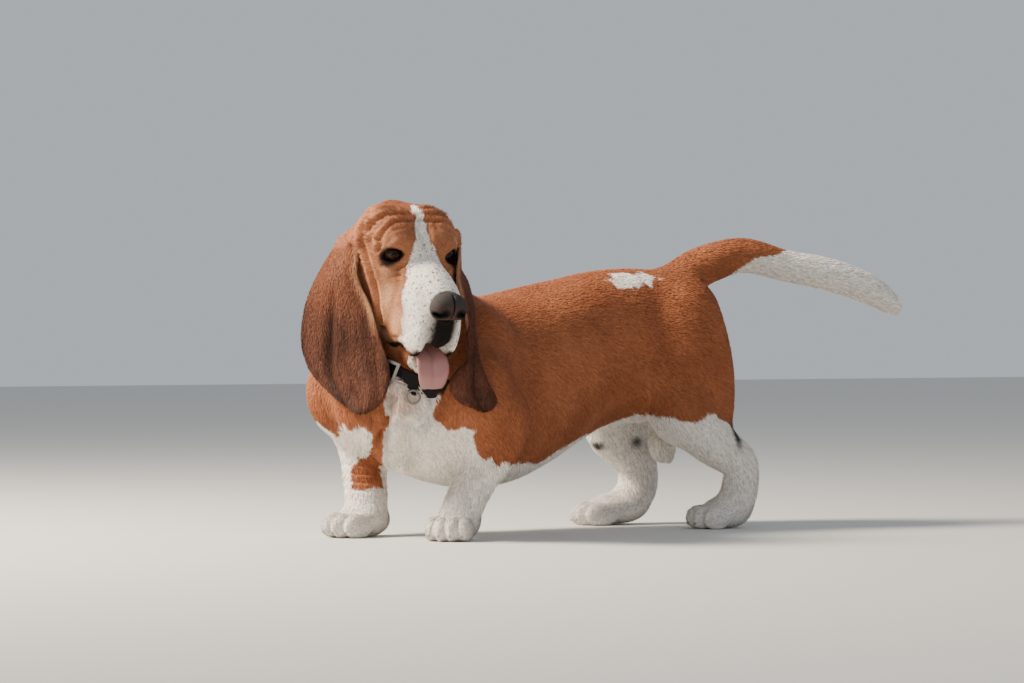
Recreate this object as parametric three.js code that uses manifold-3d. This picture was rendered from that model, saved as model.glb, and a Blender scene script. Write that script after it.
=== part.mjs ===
import * as THREE from "three";
import { mergeVertices } from "three/addons/utils/BufferGeometryUtils.js";
import Module from "manifold-3d";

// Sizes are in millimetres. The model stands on z = 0 and faces along -X, with its left side towards -Y.

// Trunk: it is laid out straight, with s from the buttocks to the breast, u to the left and z up,
// and the whole of it is then bent to the left round a wide arc.
const spine = { startX: 284, startY: 20, startHeading: -11, bendRadius: 930 };
const trunk = {
  s: [20, 60, 110, 160, 210, 260, 320, 380, 440, 500, 550, 600],
  top: [343, 360, 370, 371, 366, 356, 345, 334, 327, 322, 305, 280],
  bottom: [205, 172, 152, 148, 140, 118, 90, 70, 64, 72, 88, 112],
  halfWidth: [60, 80, 90, 92, 95, 103, 111, 116, 117, 113, 104, 88],
  widest: [285, 280, 272, 266, 256, 242, 226, 212, 206, 205, 205, 205],
  squareness: 2.25,
  rearCap: { from: 52, reach: 42 },
  frontCap: { from: 555, reach: 80 },
};

// Flesh over the trunk, as blended ellipsoids in the same straight layout, the same on both sides
const flesh = [
  { name: "croup", at: [78, 36, 312], radii: [62, 48, 44], blend: 28 },
  { name: "thigh", at: [84, 70, 232], radii: [74, 42, 102], lean: -8, blend: 24 },
  { name: "thighBack", at: [42, 70, 190], radii: [38, 34, 76], lean: 4, blend: 22 },
  { name: "knee", at: [110, 82, 164], radii: [38, 28, 40], blend: 24 },
  { name: "scrotum", at: [84, 8, 116], radii: [17, 13, 25], lean: 10, blend: 10 },
  { name: "shoulderBlade", at: [508, 84, 240], radii: [58, 40, 76], lean: 16, blend: 26 },
  { name: "shoulderPoint", at: [566, 108, 198], radii: [58, 48, 64], blend: 36 },
  { name: "upperArm", at: [530, 108, 165], radii: [48, 36, 50], blend: 24 },
  { name: "breastbone", at: [612, 34, 184], radii: [48, 46, 52], blend: 36 },
];

// Legs: centre lines and radii from the body down to the fetlock, in the straight layout
const legs = {
  foreleg_left: {
    line: [
      [512, 112, 165, 42], [518, 110, 130, 36], [538, 92, 85, 30], [552, 80, 50, 29], [560, 78, 30, 29],
    ],
    paw: { at: [572, 76], heading: 14 },
  },
  foreleg_right: {
    line: [
      [518, -116, 165, 42], [524, -112, 130, 36], [540, -96, 85, 30], [550, -86, 50, 29], [556, -84, 30, 29],
    ],
    paw: { at: [566, -82], heading: -14 },
  },
  hindleg_left: {
    line: [
      [98, 84, 165, 38], [58, 88, 128, 34], [4, 88, 96, 29], [-2, 86, 62, 29], [6, 84, 34, 30],
    ],
    paw: { at: [30, 82], heading: 6 },
  },
  hindleg_right: {
    line: [
      [128, -76, 165, 38], [118, -80, 128, 34], [84, -82, 94, 29], [80, -80, 58, 28], [92, -78, 34, 29],
    ],
    paw: { at: [124, -76], heading: -6 },
  },
};
const paw = {
  pad: { at: -4, height: 22, radii: [38, 30, 24] },
  toe: { height: 15, radii: [25, 11.5, 19.5], spread: 15.5, reach: 24, middleReach: 33 },
};

// Head: x to its left, y along the muzzle and z up, from the point between the eyes
const head = { at: [-313, -141, 382], heading: 4.3, pitch: -27.4 };
const skull = [
  { name: "cranium", at: [0, -52, -2], radii: [55, 70, 41], blend: 1 },
  { name: "occiput", at: [0, -104, 8], radii: [24, 20, 20], blend: 18 },
  { name: "temple", at: [33, -48, 13], radii: [25, 48, 27], blend: 22 },
  { name: "brow", at: [27, -9, 17], radii: [22, 20, 13], blend: 16 },
  { name: "cheekbone", at: [42, -38, -26], radii: [20, 46, 30], blend: 20 },
  { name: "cheek", at: [36, -12, -62], radii: [20, 46, 44], lean: 20, blend: 22 },
  { name: "muzzle", at: [0, 42, -30], radii: [35, 66, 30], lean: -4, blend: 18 },
  { name: "bridge", at: [0, 44, -12], radii: [20, 62, 17], lean: -6, blend: 14 },
  { name: "flew", at: [24, 62, -66], radii: [14, 34, 48], lean: 27.4, blend: 14 },
  { name: "flewBack", at: [31, 24, -72], radii: [14, 36, 42], lean: 27.4, blend: 14 },
  { name: "muzzleFront", at: [0, 84, -50], radii: [24, 20, 40], lean: 20, blend: 12 },
  { name: "throat", at: [0, -44, -70], radii: [44, 54, 44], blend: 26 },
];

const neck = {
  line: [[-226, -20, 250, 92], [-258, -34, 300, 76], [-288, -52, 346, 66], [-304, -70, 384, 52]],
  dewlap: [[-304, -70, 286, 36], [-310, -94, 238, 32], [-312, -98, 190, 33]],
  blend: 40,
};

const tail = {
  line: [
    [206, 26, 330, 34], [241, 31, 360, 31], [281, 21, 381, 28.5], [334, 11, 391, 26], [393, -4, 377, 23.5],
    [456, -21, 365, 24.5], [516, -38, 345, 23], [548, -47, 326, 18], [560, -50, 316, 12],
  ],
  blend: 24,
};

const jaw = [
  { name: "jawBone", at: [0, 6, -112], radii: [22, 62, 17], lean: -13, blend: 1 },
  { name: "chin", at: [0, 60, -126], radii: [16, 22, 16], blend: 12 },
  { name: "lowerLip", at: [17, 36, -114], radii: [9, 40, 15], lean: -13, blend: 9 },
];
const nose = {
  shape: [
    { name: "pad", at: [0, 100, -24], radii: [24, 18, 19], blend: 1 },
    { name: "wing", at: [15, 103, -28], radii: [11, 13, 13], blend: 6 },
  ],
  nostrils: [
    { name: "hole", at: [11, 119, -28], radii: [5, 9, 4.5], blend: 4 },
    { name: "slit", at: [20, 112, -31], radii: [6, 9, 3], blend: 4 },
  ],
};
const eye = { at: [38, -9, 0], radius: 11.5, lookOut: 28, lookUp: 4 };
const lids = { opening: [12.5, 7.6], droop: -30 };
const tongue = {
  line: [[0, 8, -104], [0, 52, -104], [0, 84, -109], [0, 101, -124], [0, 107, -143]],
  halfWidth: [16, 19, 22, 23, 19],
  thickness: 7,
};

// Ears: rows from the root down, each with its height, its front and back rims and how far it bulges out
const ears = {
  thickness: 6,
  clear: 6,
  clearLowDown: 9,
  offStrap: 1.5,
  ear_right: {
    root: [[-50, -52, 8], [-42, -98, 2]],
    side: -1,
    rows: [
      [400, [-376, -82], [-372, -24], 6],
      [355, [-387, -88], [-400, -14], 9],
      [312, [-371, -114], [-406, 8], 12],
      [262, [-358, -127], [-404, 18], 12],
      [222, [-357, -128], [-398, -3], 9],
      [192, [-364, -121], [-383, -43], 6],
      [174, [-372, -106], [-378, -76], 3],
    ],
  },
  ear_left: {
    root: [[50, -52, 8], [42, -98, 2]],
    side: 1,
    rows: [
      [398, [-262, -122], [-256, -70], 6],
      [355, [-262, -160], [-232, -100], 8],
      [330, [-266, -172], [-226, -112], 7],
      [312, [-270, -178], [-226, -129], 6],
      [281, [-268, -176], [-244, -162], 5],
      [245, [-274, -172], [-253, -190], 5],
      [215, [-282, -170], [-245, -199], 5],
      [200, [-282, -173], [-238, -202], 4],
      [188, [-274, -181], [-232, -202], 3],
      [178, [-258, -191], [-238, -200], 2],
    ],
  },
};

// Collar: a band in its own plane, no further out than an ellipse, with angles in degrees round its axis
const collar = {
  at: [-262, -44, 286],
  axis: [-0.05, -0.6, 0.8],
  width: 22,
  thickness: 3,
  offSkin: 1,
  mostLean: 8,
  sections: 40,
  ellipse: { longAt: 246, long: 146, wide: 88 },
  buckle: { angle: 223, width: 26, height: 30, rim: 4, thickness: 2.4, out: 6.4 },
  ring: { angle: 241, radius: 9, wire: 1.5, out: 3.4, along: -16 },
};
const claw = { length: 17, radius: 3.4, height: 12, ahead: 17 };
const gap = 0.3;

// Where the flesh is parted: stations along the trunk, and heights
const cuts = { hindquarters: 190, abdomen: 400, neck: 555, pawTop: 43, headEdge: 5 };
const mouthRoom = { at: [0, 28, -84], radii: [34, 64, 46] };

// Side of a cell of the nets that the surfaces are made on
const cells = { body: 26, head: 24, jaw: 11, nose: 6.5 };

const degrees = Math.PI / 180;
const clamp = (value, low, high) => Math.min(Math.max(value, low), high);
const mix = (a, b, t) => a + (b - a) * t;

// Smooth union of two distances, rounded over the width k
function join(a, b, k) {
  const h = Math.max(k - Math.abs(a - b), 0) / k;
  return Math.min(a, b) - h * h * k * 0.25;
}

// Value of a list of stations at s, through a smooth cubic
function station(xs, ys, x) {
  const n = xs.length;
  if (x <= xs[0]) return ys[0];
  if (x >= xs[n - 1]) return ys[n - 1];
  let i = 0;
  while (x > xs[i + 1]) i += 1;
  const slope = (j) => (ys[Math.min(j + 1, n - 1)] - ys[Math.max(j - 1, 0)])
    / (xs[Math.min(j + 1, n - 1)] - xs[Math.max(j - 1, 0)]);
  const w = xs[i + 1] - xs[i];
  const t = (x - xs[i]) / w;
  const t2 = t * t;
  const t3 = t2 * t;
  return ys[i] * (2 * t3 - 3 * t2 + 1) + slope(i) * w * (t3 - 2 * t2 + t)
    + ys[i + 1] * (3 * t2 - 2 * t3) + slope(i + 1) * w * (t3 - t2);
}

const heading0 = spine.startHeading * degrees;
const arcX = spine.startX + spine.bendRadius * Math.sin(heading0);
const arcY = spine.startY - spine.bendRadius * Math.cos(heading0);

// A point of the bent body in the straight layout, and back
function straighten(p) {
  const dx = p[0] - arcX;
  const dy = p[1] - arcY;
  return [spine.bendRadius * (Math.atan2(-dx, dy) - heading0), spine.bendRadius - Math.hypot(dx, dy), p[2]];
}
function bend(q) {
  const heading = heading0 + q[0] / spine.bendRadius;
  const r = spine.bendRadius - q[1];
  return [arcX - r * Math.sin(heading), arcY + r * Math.cos(heading), q[2]];
}

function bentAxis(s, [ahead, left, up]) {
  const heading = heading0 + s / spine.bendRadius;
  const [c, sn] = [Math.cos(heading), Math.sin(heading)];
  return [-c * ahead + sn * left, -sn * ahead - c * left, up];
}

const [turnC, turnS] = [Math.cos(head.heading * degrees), Math.sin(head.heading * degrees)];
const [pitchC, pitchS] = [Math.cos(head.pitch * degrees), Math.sin(head.pitch * degrees)];
const headAxes = {
  left: [turnC, -turnS, 0],
  ahead: [-turnS * pitchC, -turnC * pitchC, pitchS],
  up: [turnS * pitchS, turnC * pitchS, pitchC],
};
const cross = (a, b) => [a[1] * b[2] - a[2] * b[1], a[2] * b[0] - a[0] * b[2], a[0] * b[1] - a[1] * b[0]];
const dot = (a, b) => a[0] * b[0] + a[1] * b[1] + a[2] * b[2];
function toHead(p) {
  const q = [p[0] - head.at[0], p[1] - head.at[1], p[2] - head.at[2]];
  return [dot(q, headAxes.left), dot(q, headAxes.ahead), dot(q, headAxes.up)];
}
function fromHead(q) {
  const { left, ahead, up } = headAxes;
  return head.at.map((v, i) => v + q[0] * left[i] + q[1] * ahead[i] + q[2] * up[i]);
}

// Distance to an ellipsoid, leaned in the plane of its first and third axes
function ellipsoid(x, y, z, radii) {
  const a = x / radii[0];
  const b = y / radii[1];
  const c = z / radii[2];
  const k0 = Math.sqrt(a * a + b * b + c * c);
  const k1 = Math.sqrt((a / radii[0]) ** 2 + (b / radii[1]) ** 2 + (c / radii[2]) ** 2);
  return k1 < 1e-9 ? -Math.min(...radii) : (k0 * (k0 - 1)) / k1;
}

// Distance to a line of points with radii, each length a cone with round ends
function strand(p, line) {
  let d = Infinity;
  for (let i = 0; i + 1 < line.length; i += 1) {
    const a = line[i];
    const b = line[i + 1];
    const bx = b[0] - a[0];
    const by = b[1] - a[1];
    const bz = b[2] - a[2];
    const px = p[0] - a[0];
    const py = p[1] - a[1];
    const pz = p[2] - a[2];
    const t = clamp((px * bx + py * by + pz * bz) / (bx * bx + by * by + bz * bz), 0, 1);
    d = Math.min(d, Math.hypot(px - bx * t, py - by * t, pz - bz * t) - mix(a[3], b[3], t));
  }
  return d;
}

// The same line with in-between points on a smooth curve
function smoothLine(line, steps = 4) {
  const out = [];
  for (let i = 0; i + 1 < line.length; i += 1) {
    const a = line[Math.max(i - 1, 0)];
    const [b, c] = [line[i], line[i + 1]];
    const d = line[Math.min(i + 2, line.length - 1)];
    for (let j = 0; j < steps; j += 1) {
      const t = j / steps;
      out.push(b.map((v, k) => 0.5 * (2 * v + (c[k] - a[k]) * t + (2 * a[k] - 5 * v + 4 * c[k] - d[k]) * t * t
        + (3 * v - a[k] - 3 * c[k] + d[k]) * t * t * t)));
    }
  }
  out.push(line[line.length - 1]);
  return out;
}

function trunkShape(s, u, z) {
  const top = station(trunk.s, trunk.top, s);
  const bottom = station(trunk.s, trunk.bottom, s);
  const half = station(trunk.s, trunk.halfWidth, s);
  const mid = station(trunk.s, trunk.widest, s);
  const n = trunk.squareness;
  const high = z > mid ? top - mid : mid - bottom;
  const a = Math.abs(u) / half;
  const b = Math.abs(z - mid) / high;
  const rear = trunk.rearCap;
  const front = trunk.frontCap;
  const reach = s < rear.from ? rear.reach : front.reach;
  const c = Math.max(0, (rear.from - s) / rear.reach, (s - front.from) / front.reach);
  const q = (a ** n + b ** n + c ** n) ** (1 / n);
  const g = Math.hypot(a ** (n - 1) / half, b ** (n - 1) / high, c ** (n - 1) / reach)
    * Math.max(q, 1e-6) ** (1 - n);
  return g < 1e-9 ? -half : (q - 1) / g;
}

function blendIn(d, x, y, z, part) {
  const lean = (part.lean || 0) * degrees;
  const px = x - part.at[0];
  const pz = z - part.at[2];
  const c = Math.cos(lean);
  const s = Math.sin(lean);
  return join(d, ellipsoid(px * c - pz * s, y - part.at[1], px * s + pz * c, part.radii), part.blend);
}

const legLines = Object.fromEntries(Object.entries(legs).map(([name, leg]) => [name, smoothLine(leg.line)]));
const neckLine = smoothLine(neck.line);
const dewlapLine = smoothLine(neck.dewlap);
const tailLine = smoothLine(tail.line);

function pawShape(s, u, z, leg) {
  const turn = leg.paw.heading * degrees;
  const ds = s - leg.paw.at[0];
  const du = u - leg.paw.at[1];
  const x = ds * Math.cos(turn) + du * Math.sin(turn);
  const y = -ds * Math.sin(turn) + du * Math.cos(turn);
  let d = ellipsoid(x - paw.pad.at, y, z - paw.pad.height, paw.pad.radii);
  for (const i of [-1.5, -0.5, 0.5, 1.5]) {
    const reach = Math.abs(i) < 1 ? paw.toe.middleReach : paw.toe.reach;
    d = join(d, ellipsoid(x - reach, y - i * paw.toe.spread, z - paw.toe.height, paw.toe.radii), 6);
  }
  return d;
}

function bodyField(p) {
  const [s, u, z] = straighten(p);
  let d = trunkShape(s, u, z);
  for (const part of flesh) d = blendIn(d, s, Math.abs(u), z, part);
  for (const [name, leg] of Object.entries(legs)) {
    if (z > 240 || Math.abs(s - leg.paw.at[0]) > 160 || u * leg.paw.at[1] < 0) continue;
    d = join(d, strand([s, u, z], legLines[name]), 22);
    d = join(d, pawShape(s, u, z, leg), 12);
  }
  return d;
}

// Distance to a list of head parts, in the head's own frame
function headParts(list, x, y, z) {
  let d = 1e3;
  for (const piece of list) {
    const side = piece.at[0] === 0 ? x : Math.abs(x);
    const lean = (piece.lean || 0) * degrees;
    const py = y - piece.at[1];
    const pz = z - piece.at[2];
    const c = Math.cos(lean);
    const s = Math.sin(lean);
    d = join(d, ellipsoid(side - piece.at[0], py * c + pz * s, -py * s + pz * c, piece.radii), piece.blend);
  }
  return d;
}
const headField = (p) => headParts(skull, ...toHead(p));

function field(p) {
  let d = bodyField(p);
  d = join(d, strand(p, tailLine), tail.blend);
  let h = headField(p);
  h = join(h, strand(p, neckLine), 30);
  h = join(h, strand(p, dewlapLine), 36);
  return join(d, h, neck.blend);
}

// A surface of flat faces on the field: one point in each cell that it crosses, moved onto the surface
function slope(distance, p, e = 0.5) {
  return [0, 1, 2].map((i) => {
    const a = [...p];
    const b = [...p];
    a[i] += e;
    b[i] -= e;
    return (distance(a) - distance(b)) / (2 * e);
  });
}
function settle(distance, p, most) {
  let q = p;
  for (let i = 0; i < 2; i += 1) {
    const g = slope(distance, q);
    const step = clamp(distance(q) / Math.max(dot(g, g), 0.05), -most, most);
    q = q.map((v, k) => v - g[k] * step);
  }
  return q;
}
// Corners of a cell's six faces in ring order, a corner's three bits being its places along the axes
const square = [[0, 0], [1, 0], [1, 1], [0, 1]];
const cellFaces = [0, 1, 2].flatMap((axis) => [0, 1].map((side) =>
  square.map(([u, v]) => (side << axis) | (u << ((axis + 1) % 3)) | (v << ((axis + 2) % 3)))));
const edgeName = (a, b) => Math.min(a, b) * 8 + Math.max(a, b);

// Crossed edges on one sheet of a cell share a name, so two sheets in a cell get a point each
function sheetNames(inside) {
  const name = {};
  const root = (e) => (name[e] === e ? e : root(name[e]));
  for (const ring of cellFaces) {
    const crossed = ring.map((c, i) => {
      const next = ring[(i + 1) % 4];
      return inside[c] === inside[next] ? -1 : edgeName(c, next);
    });
    const found = crossed.filter((e) => e >= 0);
    for (const e of found) if (!(e in name)) name[e] = e;
    if (found.length === 2) name[root(found[0])] = root(found[1]);
    if (found.length < 4) continue;
    ring.forEach((c, i) => {
      if (inside[c]) name[root(crossed[i])] = root(crossed[(i + 3) % 4]);
    });
  }
  return root;
}

function skin(distance, box, cell) {
  const n = [0, 1, 2].map((i) => Math.ceil((box[1][i] - box[0][i]) / cell) + 1);
  const at = (i, j, k) => (i * n[1] + j) * n[2] + k;
  const stride = [n[1] * n[2], n[2], 1];
  const value = new Float64Array(n[0] * n[1] * n[2]);
  for (let i = 0; i < n[0]; i += 1) {
    for (let j = 0; j < n[1]; j += 1) {
      for (let k = 0; k < n[2]; k += 1) {
        value[at(i, j, k)] = distance([box[0][0] + i * cell, box[0][1] + j * cell, box[0][2] + k * cell]);
      }
    }
  }
  const names = new Map();
  const sums = new Map();
  const quads = [];
  for (let i = 0; i < n[0] - 1; i += 1) {
    for (let j = 0; j < n[1] - 1; j += 1) {
      for (let k = 0; k < n[2] - 1; k += 1) {
        const here = at(i, j, k);
        const a = value[here];
        for (const axis of [0, 1, 2]) {
          const b = value[here + stride[axis]];
          if ((a < 0) === (b < 0)) continue;
          const crossing = [i, j, k];
          crossing[axis] += a / (a - b);
          const e = (axis + 1) % 3;
          const f = (axis + 2) % 3;
          const ring = square.map(([u, v]) => {
            const c = here - u * stride[e] - v * stride[f];
            if (!names.has(c)) {
              names.set(c, sheetNames([0, 1, 2, 3, 4, 5, 6, 7].map((q) =>
                value[c + (q & 1) * stride[0] + ((q >> 1) & 1) * stride[1] + (q >> 2) * stride[2]] < 0)));
            }
            const corner = (u << e) | (v << f);
            return c * 64 + names.get(c)(edgeName(corner, corner | (1 << axis)));
          });
          for (const c of ring) {
            const sum = sums.get(c) || [0, 0, 0, 0];
            crossing.forEach((v, q) => { sum[q] += v; });
            sum[3] += 1;
            sums.set(c, sum);
          }
          quads.push(a < 0 ? ring : ring.reverse());
        }
      }
    }
  }
  const order = new Map();
  const points = [];
  for (const [c, sum] of sums) {
    order.set(c, points.length);
    points.push(settle(distance, [0, 1, 2].map((i) => box[0][i] + (sum[i] / sum[3]) * cell), cell * 0.4));
  }
  return { points, faces: quads.map((q) => q.map((c) => order.get(c))) };
}

// Four faces for one wherever the test holds, with the neighbours' edges kept shut
function refine(mesh, distance, wanted, cell) {
  const points = [...mesh.points];
  const middles = new Map();
  const middle = (a, b, make) => {
    const key = a < b ? `${a}_${b}` : `${b}_${a}`;
    if (!middles.has(key) && make) {
      middles.set(key, points.length);
      points.push(settle(distance, points[a].map((v, k) => (v + points[b][k]) / 2), cell * 0.25));
    }
    return middles.get(key);
  };
  const centre = (face) => [0, 1, 2].map((k) => face.reduce((sum, v) => sum + points[v][k], 0) / face.length);
  const chosen = mesh.faces.map((face) => face.length === 4 && wanted(centre(face)));
  const faces = [];
  mesh.faces.forEach((face, f) => {
    if (!chosen[f]) return;
    const mid = face.map((v, i) => middle(v, face[(i + 1) % 4], true));
    const c = points.length;
    points.push(settle(distance, centre(face), cell * 0.25));
    face.forEach((v, i) => faces.push([v, mid[i], c, mid[(i + 3) % 4]]));
  });
  mesh.faces.forEach((face, f) => {
    if (chosen[f]) return;
    const ring = [];
    face.forEach((v, i) => {
      ring.push(v);
      const m = middle(v, face[(i + 1) % face.length], false);
      if (m !== undefined) ring.push(m);
    });
    faces.push(ring);
  });
  return { points, faces };
}

function triangles({ points, faces }, distance) {
  const all = [...points];
  const list = [];
  for (const f of faces) {
    if (f.length === 3) list.push(f);
    else if (f.length === 4) {
      const far = (a, b) => Math.hypot(...all[a].map((v, k) => v - all[b][k]));
      if (far(f[0], f[2]) <= far(f[1], f[3])) list.push([f[0], f[1], f[2]], [f[0], f[2], f[3]]);
      else list.push([f[0], f[1], f[3]], [f[1], f[2], f[3]]);
    } else {
      const c = all.length;
      const middle = [0, 1, 2].map((k) => f.reduce((sum, v) => sum + all[v][k], 0) / f.length);
      all.push(distance ? settle(distance, middle, 1) : middle);
      f.forEach((v, i) => list.push([v, f[(i + 1) % f.length], c]));
    }
  }
  return { points: all, faces: list };
}

const wasm = await Module();
wasm.setup();

function solidOf({ points, faces }) {
  return new wasm.Manifold(new wasm.Mesh({
    numProp: 3,
    vertProperties: new Float32Array(points.flat()),
    triVerts: new Uint32Array(faces.flat()),
  }));
}
function solidFrom(geometry) {
  const bare = geometry.clone();
  bare.deleteAttribute("normal");
  bare.deleteAttribute("uv");
  const merged = mergeVertices(bare, 1e-4);
  const { array } = merged.index;
  const at = merged.attributes.position;
  const faces = Array.from({ length: array.length / 3 }, (_, i) => [...array.slice(3 * i, 3 * i + 3)]);
  const points = Array.from({ length: at.count }, (_, i) => [at.getX(i), at.getY(i), at.getZ(i)]);
  return facingOut({ points, faces });
}
function facingOut({ points, faces }) {
  const solid = solidOf({ points, faces });
  return solid.volume() > 0 ? solid : solidOf({ points, faces: faces.map(([a, b, c]) => [a, c, b]) });
}

// The same closed surface moved out by a little, for cutting a neighbour clear of it
function swollen({ points, faces }, distance, by) {
  const moved = points.map((p) => {
    const g = slope(distance, p);
    const length = Math.max(Math.hypot(...g), 0.3);
    return p.map((v, k) => v + (g[k] / length) * by);
  });
  return { points: moved, faces };
}

function turnedTo(axis) {
  const to = new THREE.Vector3(...axis).normalize();
  return new THREE.Quaternion().setFromUnitVectors(new THREE.Vector3(0, 0, 1), to);
}

// A thin plate that parts two neighbours
function plate(at, normal, width, height) {
  const geometry = new THREE.BoxGeometry(width, height, gap);
  geometry.applyQuaternion(turnedTo(normal));
  geometry.translate(...at);
  return solidFrom(geometry);
}

const headBasis = new THREE.Matrix4()
  .makeBasis(...[headAxes.left, headAxes.ahead, headAxes.up].map((axis) => new THREE.Vector3(...axis)))
  .setPosition(...head.at);

// A prism that takes a leg off whole: its outline in u and z runs along the trunk, and by grows it
function legPrism(from, to, outline, side, by) {
  const middle = outline.reduce((sum, q) => sum + q[0], 0) / outline.length;
  const corners = outline.map(([u, z]) => new THREE.Vector2(u + (u > middle ? by : -by), z + by));
  const options = { depth: to - from + 2 * by, bevelEnabled: false, steps: 2 };
  const geometry = new THREE.ExtrudeGeometry(new THREE.Shape(corners), options);
  const at = geometry.attributes.position;
  for (let i = 0; i < at.count; i += 1) {
    at.setXYZ(i, ...bend([from - by + at.getZ(i), side * at.getX(i), at.getY(i)]));
  }
  return solidFrom(geometry);
}

function nearest(solid, seed) {
  const v = solid.getMesh().vertProperties;
  let best = Infinity;
  for (let i = 0; i < v.length; i += 3) {
    best = Math.min(best, Math.hypot(v[i] - seed[0], v[i + 1] - seed[1], v[i + 2] - seed[2]));
  }
  return best;
}
function largest(solid) {
  return solid.decompose().sort((a, b) => b.volume() - a.volume())[0];
}

const nodes = {};

// Cuts the rest with a plate, gives the piece nearest to the seed its name, and keeps what is left
function part(rest, name, cutter, seed) {
  const pieces = rest.subtract(cutter).decompose();
  const ranked = pieces.map((piece) => ({ piece, far: nearest(piece, seed) })).sort((a, b) => a.far - b.far);
  nodes[name] = ranked[0].piece;
  return largest(wasm.Manifold.compose(ranked.slice(1).map((r) => r.piece)));
}

// Rest of the flesh, in one piece with the head
const room = [[-480, -330, -12], [600, 260, 500]];
const inHead = (p) => headField(p) < 16 && toHead(p)[1] > -70;
const inLimb = (p) => p[2] < (straighten(p)[0] < 200 ? 140 : 62) || (p[0] > 268 && p[2] > 300);
const inFace = (p) => {
  const [x, y, z] = toHead(p);
  const eyeGap = Math.hypot(Math.abs(x) - eye.at[0], y - eye.at[1], z - eye.at[2]);
  return headField(p) < 20 && (eyeGap < 24 || (y > 68 && z < -36));
};
let bodySkin = skin(field, room, cells.body);
bodySkin = refine(bodySkin, field, (p) => inHead(p) || inLimb(p), cells.body);
bodySkin = refine(bodySkin, field, inFace, cells.body / 2);
const bodyMesh = triangles(bodySkin, field);
let rest = largest(solidOf(bodyMesh)).trimByPlane([0, 0, 1], 0);

// A closed shape of its own in the head's frame, cut from a fine field
function headPiece(distance, box, cell) {
  const world = (p) => distance(...toHead(p));
  const corner = (i) => fromHead([box[i & 1][0], box[(i >> 1) & 1][1], box[i >> 2][2]]);
  const corners = [0, 1, 2, 3, 4, 5, 6, 7].map(corner);
  const low = [0, 1, 2].map((i) => Math.min(...corners.map((c) => c[i])));
  const high = [0, 1, 2].map((i) => Math.max(...corners.map((c) => c[i])));
  const mesh = triangles(skin(world, [low, high], cell), world);
  return { solid: largest(solidOf(mesh)), wide: largest(solidOf(swollen(mesh, world, gap))) };
}
const noseField = (x, y, z) => Math.max(headParts(nose.shape, x, y, z), -headParts(nose.nostrils, x, y, z));
const noseParts = headPiece(noseField, [[-34, 74, -54], [34, 130, 4]], cells.nose);
const jawField = (x, y, z) => headParts(jaw, x, y, z);
const jawParts = headPiece(jawField, [[-34, -70, -160], [34, 90, -70]], cells.jaw);

// A closed sheet between rows of points, the same split on both faces
function sheet(rows, thicknessAt, normalAt) {
  const across = rows[0].length;
  const points = [];
  rows.forEach((row, i) => row.forEach((p, j) => {
    const n = normalAt(i, j);
    const t = thicknessAt(i, j) / 2;
    points.push(p.map((v, k) => v + n[k] * t), p.map((v, k) => v - n[k] * t));
  }));
  const at = (i, j, side) => 2 * (i * across + j) + side;
  const faces = [];
  const wall = (a, b, c, d) => faces.push([a, b, c], [a, c, d]);
  for (let i = 0; i + 1 < rows.length; i += 1) {
    for (let j = 0; j + 1 < across; j += 1) {
      wall(at(i, j, 0), at(i + 1, j, 0), at(i + 1, j + 1, 0), at(i, j + 1, 0));
      faces.push([at(i, j, 1), at(i + 1, j + 1, 1), at(i + 1, j, 1)]);
      faces.push([at(i, j, 1), at(i, j + 1, 1), at(i + 1, j + 1, 1)]);
    }
    wall(at(i, 0, 1), at(i + 1, 0, 1), at(i + 1, 0, 0), at(i, 0, 0));
    wall(at(i, across - 1, 0), at(i + 1, across - 1, 0), at(i + 1, across - 1, 1), at(i, across - 1, 1));
  }
  const end = rows.length - 1;
  for (let j = 0; j + 1 < across; j += 1) {
    wall(at(0, j, 0), at(0, j + 1, 0), at(0, j + 1, 1), at(0, j, 1));
    wall(at(end, j, 1), at(end, j + 1, 1), at(end, j + 1, 0), at(end, j, 0));
  }
  return { points, faces };
}
const minus = (a, b) => a.map((v, k) => v - b[k]);
const unit = (a) => {
  const length = Math.hypot(...a) || 1;
  return a.map((v) => v / length);
};
function rowNormal(rows, i, j) {
  const down = minus(rows[Math.min(i + 1, rows.length - 1)][j], rows[Math.max(i - 1, 0)][j]);
  const over = minus(rows[i][Math.min(j + 1, rows[i].length - 1)], rows[i][Math.max(j - 1, 0)]);
  return unit(cross(down, over));
}

// Tongue
const tongueLine = smoothLine(tongue.line.map((p, i) => [...p, tongue.halfWidth[i]]), 3);
const tongueRows = tongueLine.map(([x, y, z, half], i) => {
  const last = i === tongueLine.length - 1;
  return [-1, -0.6, 0, 0.6, 1].map((v) => fromHead([
    x + half * v, y, z + 5 * v * v - (v === 0 ? 1.5 : 0) + (last ? 3 * v * v : 0)]));
});
function tongueMesh(extra) {
  const thickness = (i, j) => tongue.thickness * (j === 0 || j === 4 ? 0.45 : 1) + 2 * extra;
  const mesh = sheet(tongueRows, thickness, (i, j) => rowNormal(tongueRows, i, j));
  const middle = [0, 1, 2].map((k) => mesh.points.reduce((sum, q) => sum + q[k], 0) / mesh.points.length);
  const scale = 1 + extra / 15;
  return facingOut({ ...mesh, points: mesh.points.map((q) => q.map((v, k) => mix(middle[k], v, scale))) });
}

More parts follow.
